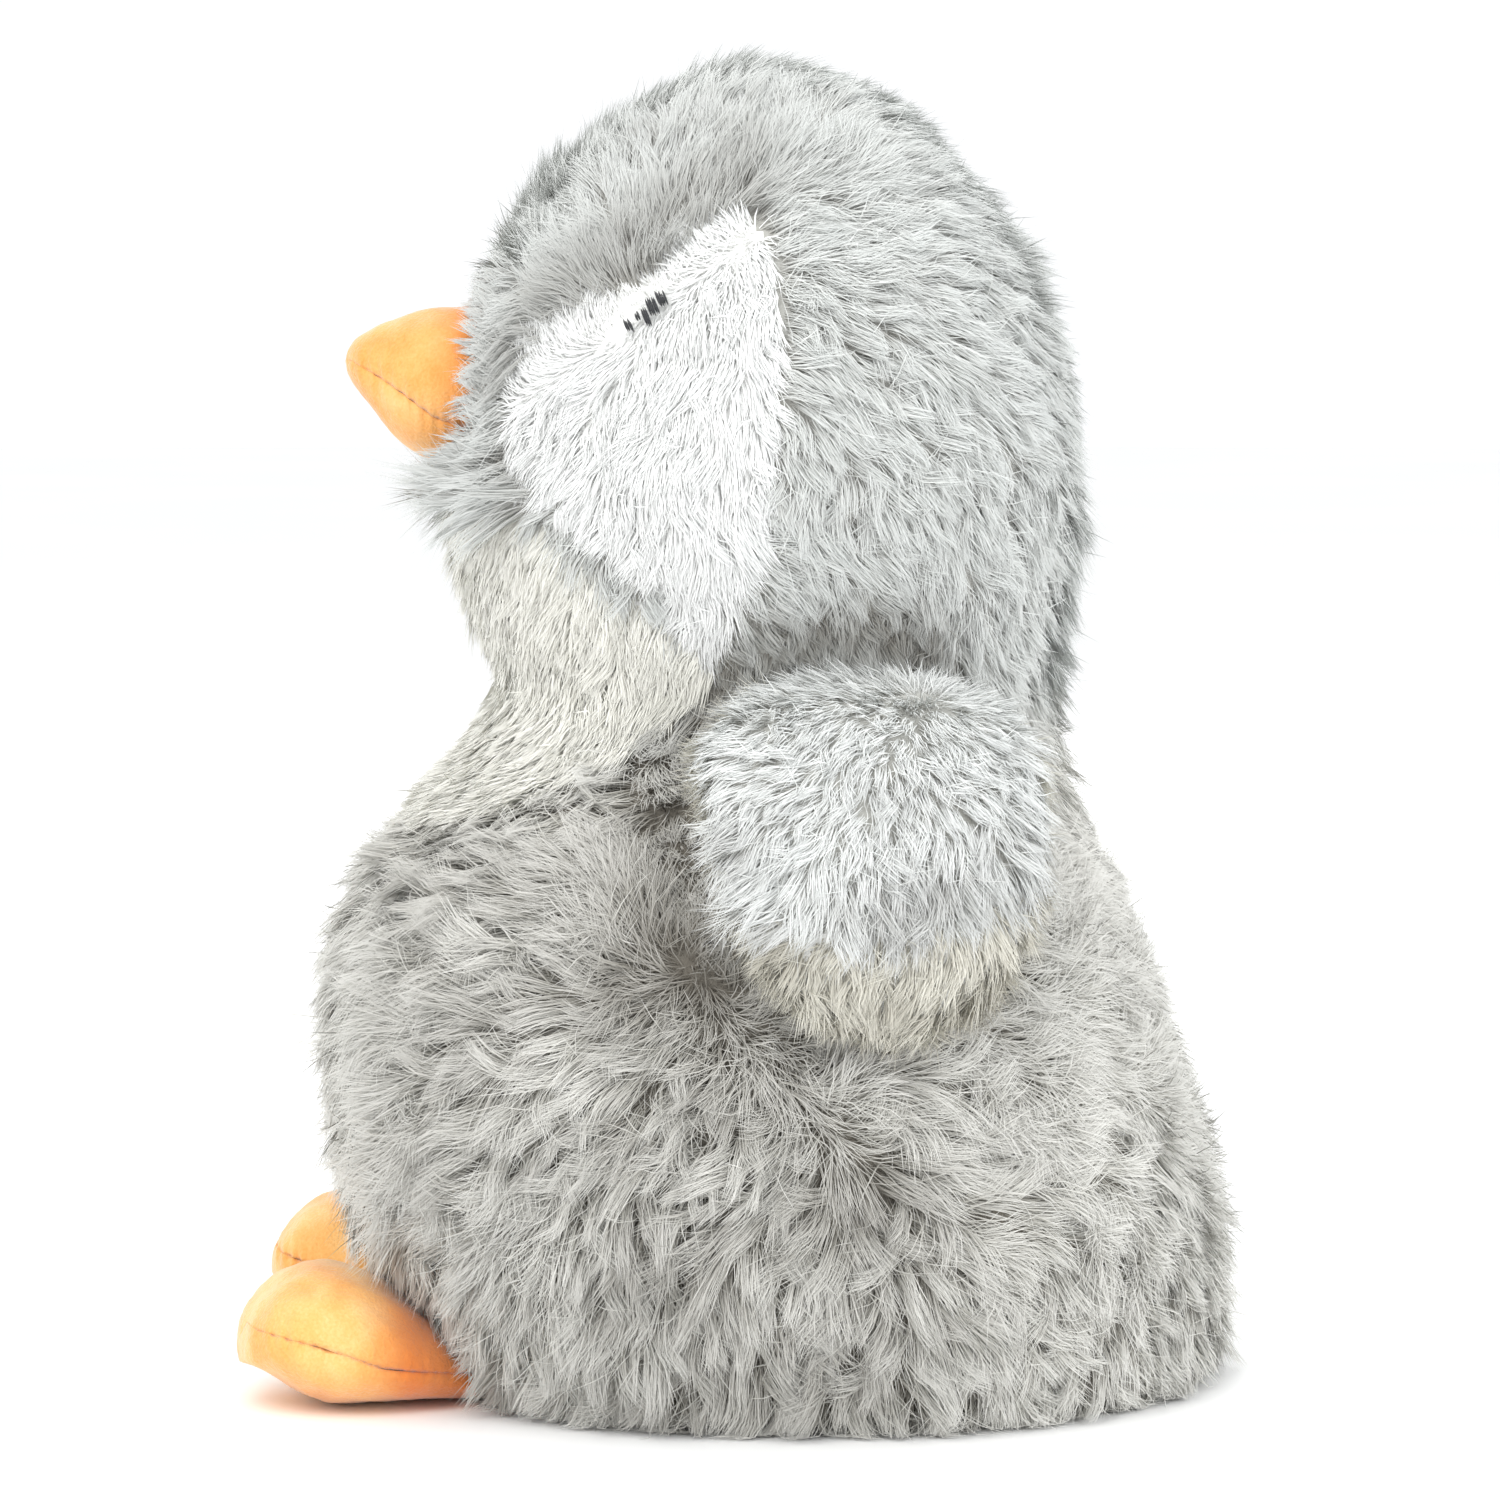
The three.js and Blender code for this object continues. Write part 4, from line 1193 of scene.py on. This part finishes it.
def build_eyes():
    """Slanting satin stitches in groups along an arc."""
    rng = np.random.default_rng(500)
    slant = unit(STITCH_SLANT)
    stitches = []
    for y, z, length, number in STITCH_GROUPS:
        for k in range(number):
            offset = (k - (number - 1) / 2) * STITCH_GAP
            middle = np.array([y + offset, z + 0.15 * rng.normal()])
            stitches.append((middle, length / 2 * rng.uniform(0.8, 1.15)))
    rows, sides = STITCH_ROWS, STITCH_SIDES
    for side, sign in (("left", 1), ("right", -1)):
        points, quads = [], []
        for i, (middle, reach) in enumerate(stitches):
            for r in range(rows):
                share = 2 * r / (rows - 1) - 1
                y, z = middle + slant * reach * share
                x = form_half_width(y, z) + EYE_LIFT * (1 - 0.4 * share**2)
                size = STITCH_RADIUS * max(0.15, (1 - share**4))
                for k in range(sides):
                    turn = 2 * math.pi * k / sides
                    points.append((sign * (x + math.sin(turn) * size), y + math.cos(turn) * size, z))
            first = i * rows * sides
            last = first + (rows - 1) * sides
            caps = np.array([(0, 1, 2, 3), (0, 3, 4, 5)])
            quads += [grid_quads(rows, sides, True)[:, ::-1] + first, caps + first, caps[:, ::-1] + last]
        quads = np.concatenate(quads)
        if sign < 0:
            quads = quads[:, ::-1]
        piece = make_quads(f"eye_{side}_stitches", np.array(points), quads)
        piece.data.materials.append(THREAD)
        declare(piece, "torso", f"eye_{side}")


# ---------------------------------------------------------------- inside

def dress_inside():
    """The stuffing and the pellet pouch keep their CAD shapes."""
    for name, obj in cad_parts.items():
        if name.endswith("stuffing") or name == "pellet_pouch":
            obj.data.materials.clear()
            obj.data.materials.append(POUCH_CLOTH if name == "pellet_pouch" else FIBRE)


# ---------------------------------------------------------------- studio

TARGET = Vector((0, SHIFT_Y / 1000, 0.139))
CAMERA_DISTANCE = 1.3
CAMERA_ELEVATION = math.radians(5)
CAMERA_LENS = 138
CAMERA_SENSOR = 36
FLOOR_RADIUS = 6
# Name, place, size in metres, power in watts and colour of each softbox.
SOFTBOXES = (
    ("key", (0.9, -0.5, 1.3), 1.0, 11, (1, 0.99, 0.97)),
    ("fill", (1.1, 1.1, 0.9), 1.0, 9, (0.96, 0.98, 1)),
    ("back", (-1.3, 0.2, 1.0), 1.2, 9, (1, 1, 1)),
)


def aim(obj, place, target):
    obj.location = place
    obj.rotation_euler = (target - place).to_track_quat("-Z", "Y").to_euler()


def build_camera():
    camera = bpy.data.objects.new("camera", bpy.data.cameras.new("camera"))
    bpy.context.scene.collection.objects.link(camera)
    camera.data.lens = CAMERA_LENS
    camera.data.sensor_width = CAMERA_SENSOR
    away = Vector((math.cos(CAMERA_ELEVATION), 0, math.sin(CAMERA_ELEVATION))) * CAMERA_DISTANCE
    aim(camera, TARGET + away, TARGET)
    bpy.context.scene.camera = camera


def add_softbox(name, place, size, power, colour):
    light = bpy.data.objects.new(name, bpy.data.lights.new(name, "AREA"))
    bpy.context.scene.collection.objects.link(light)
    light.data.size = size
    light.data.energy = power
    light.data.color = colour
    aim(light, Vector(place), TARGET)


def build_studio():
    scene = bpy.context.scene
    scene.view_settings.view_transform = "Standard"
    world = bpy.data.worlds.new("studio")
    scene.world = world
    world.use_nodes = True
    background = world.node_tree.nodes["Background"]
    background.inputs["Color"].default_value = (0.98, 0.99, 1.0, 1)
    background.inputs["Strength"].default_value = 1.05
    for softbox in SOFTBOXES:
        add_softbox(*softbox)
    bpy.ops.mesh.primitive_circle_add(vertices=96, radius=FLOOR_RADIUS, fill_type="NGON")
    floor = bpy.context.object
    floor.name = "floor"
    shader = Shader("floor", 0.7)
    shader.colour(shader.ramp(shader.noise(3), [(0.4, "FAFAF9"), (0.6, "FCFCFC")]))
    floor.data.materials.append(shader.material)


build_panels()
build_base()
build_beak()
build_feet()
build_wings()
build_eyes()
dress_inside()
build_camera()
build_studio()
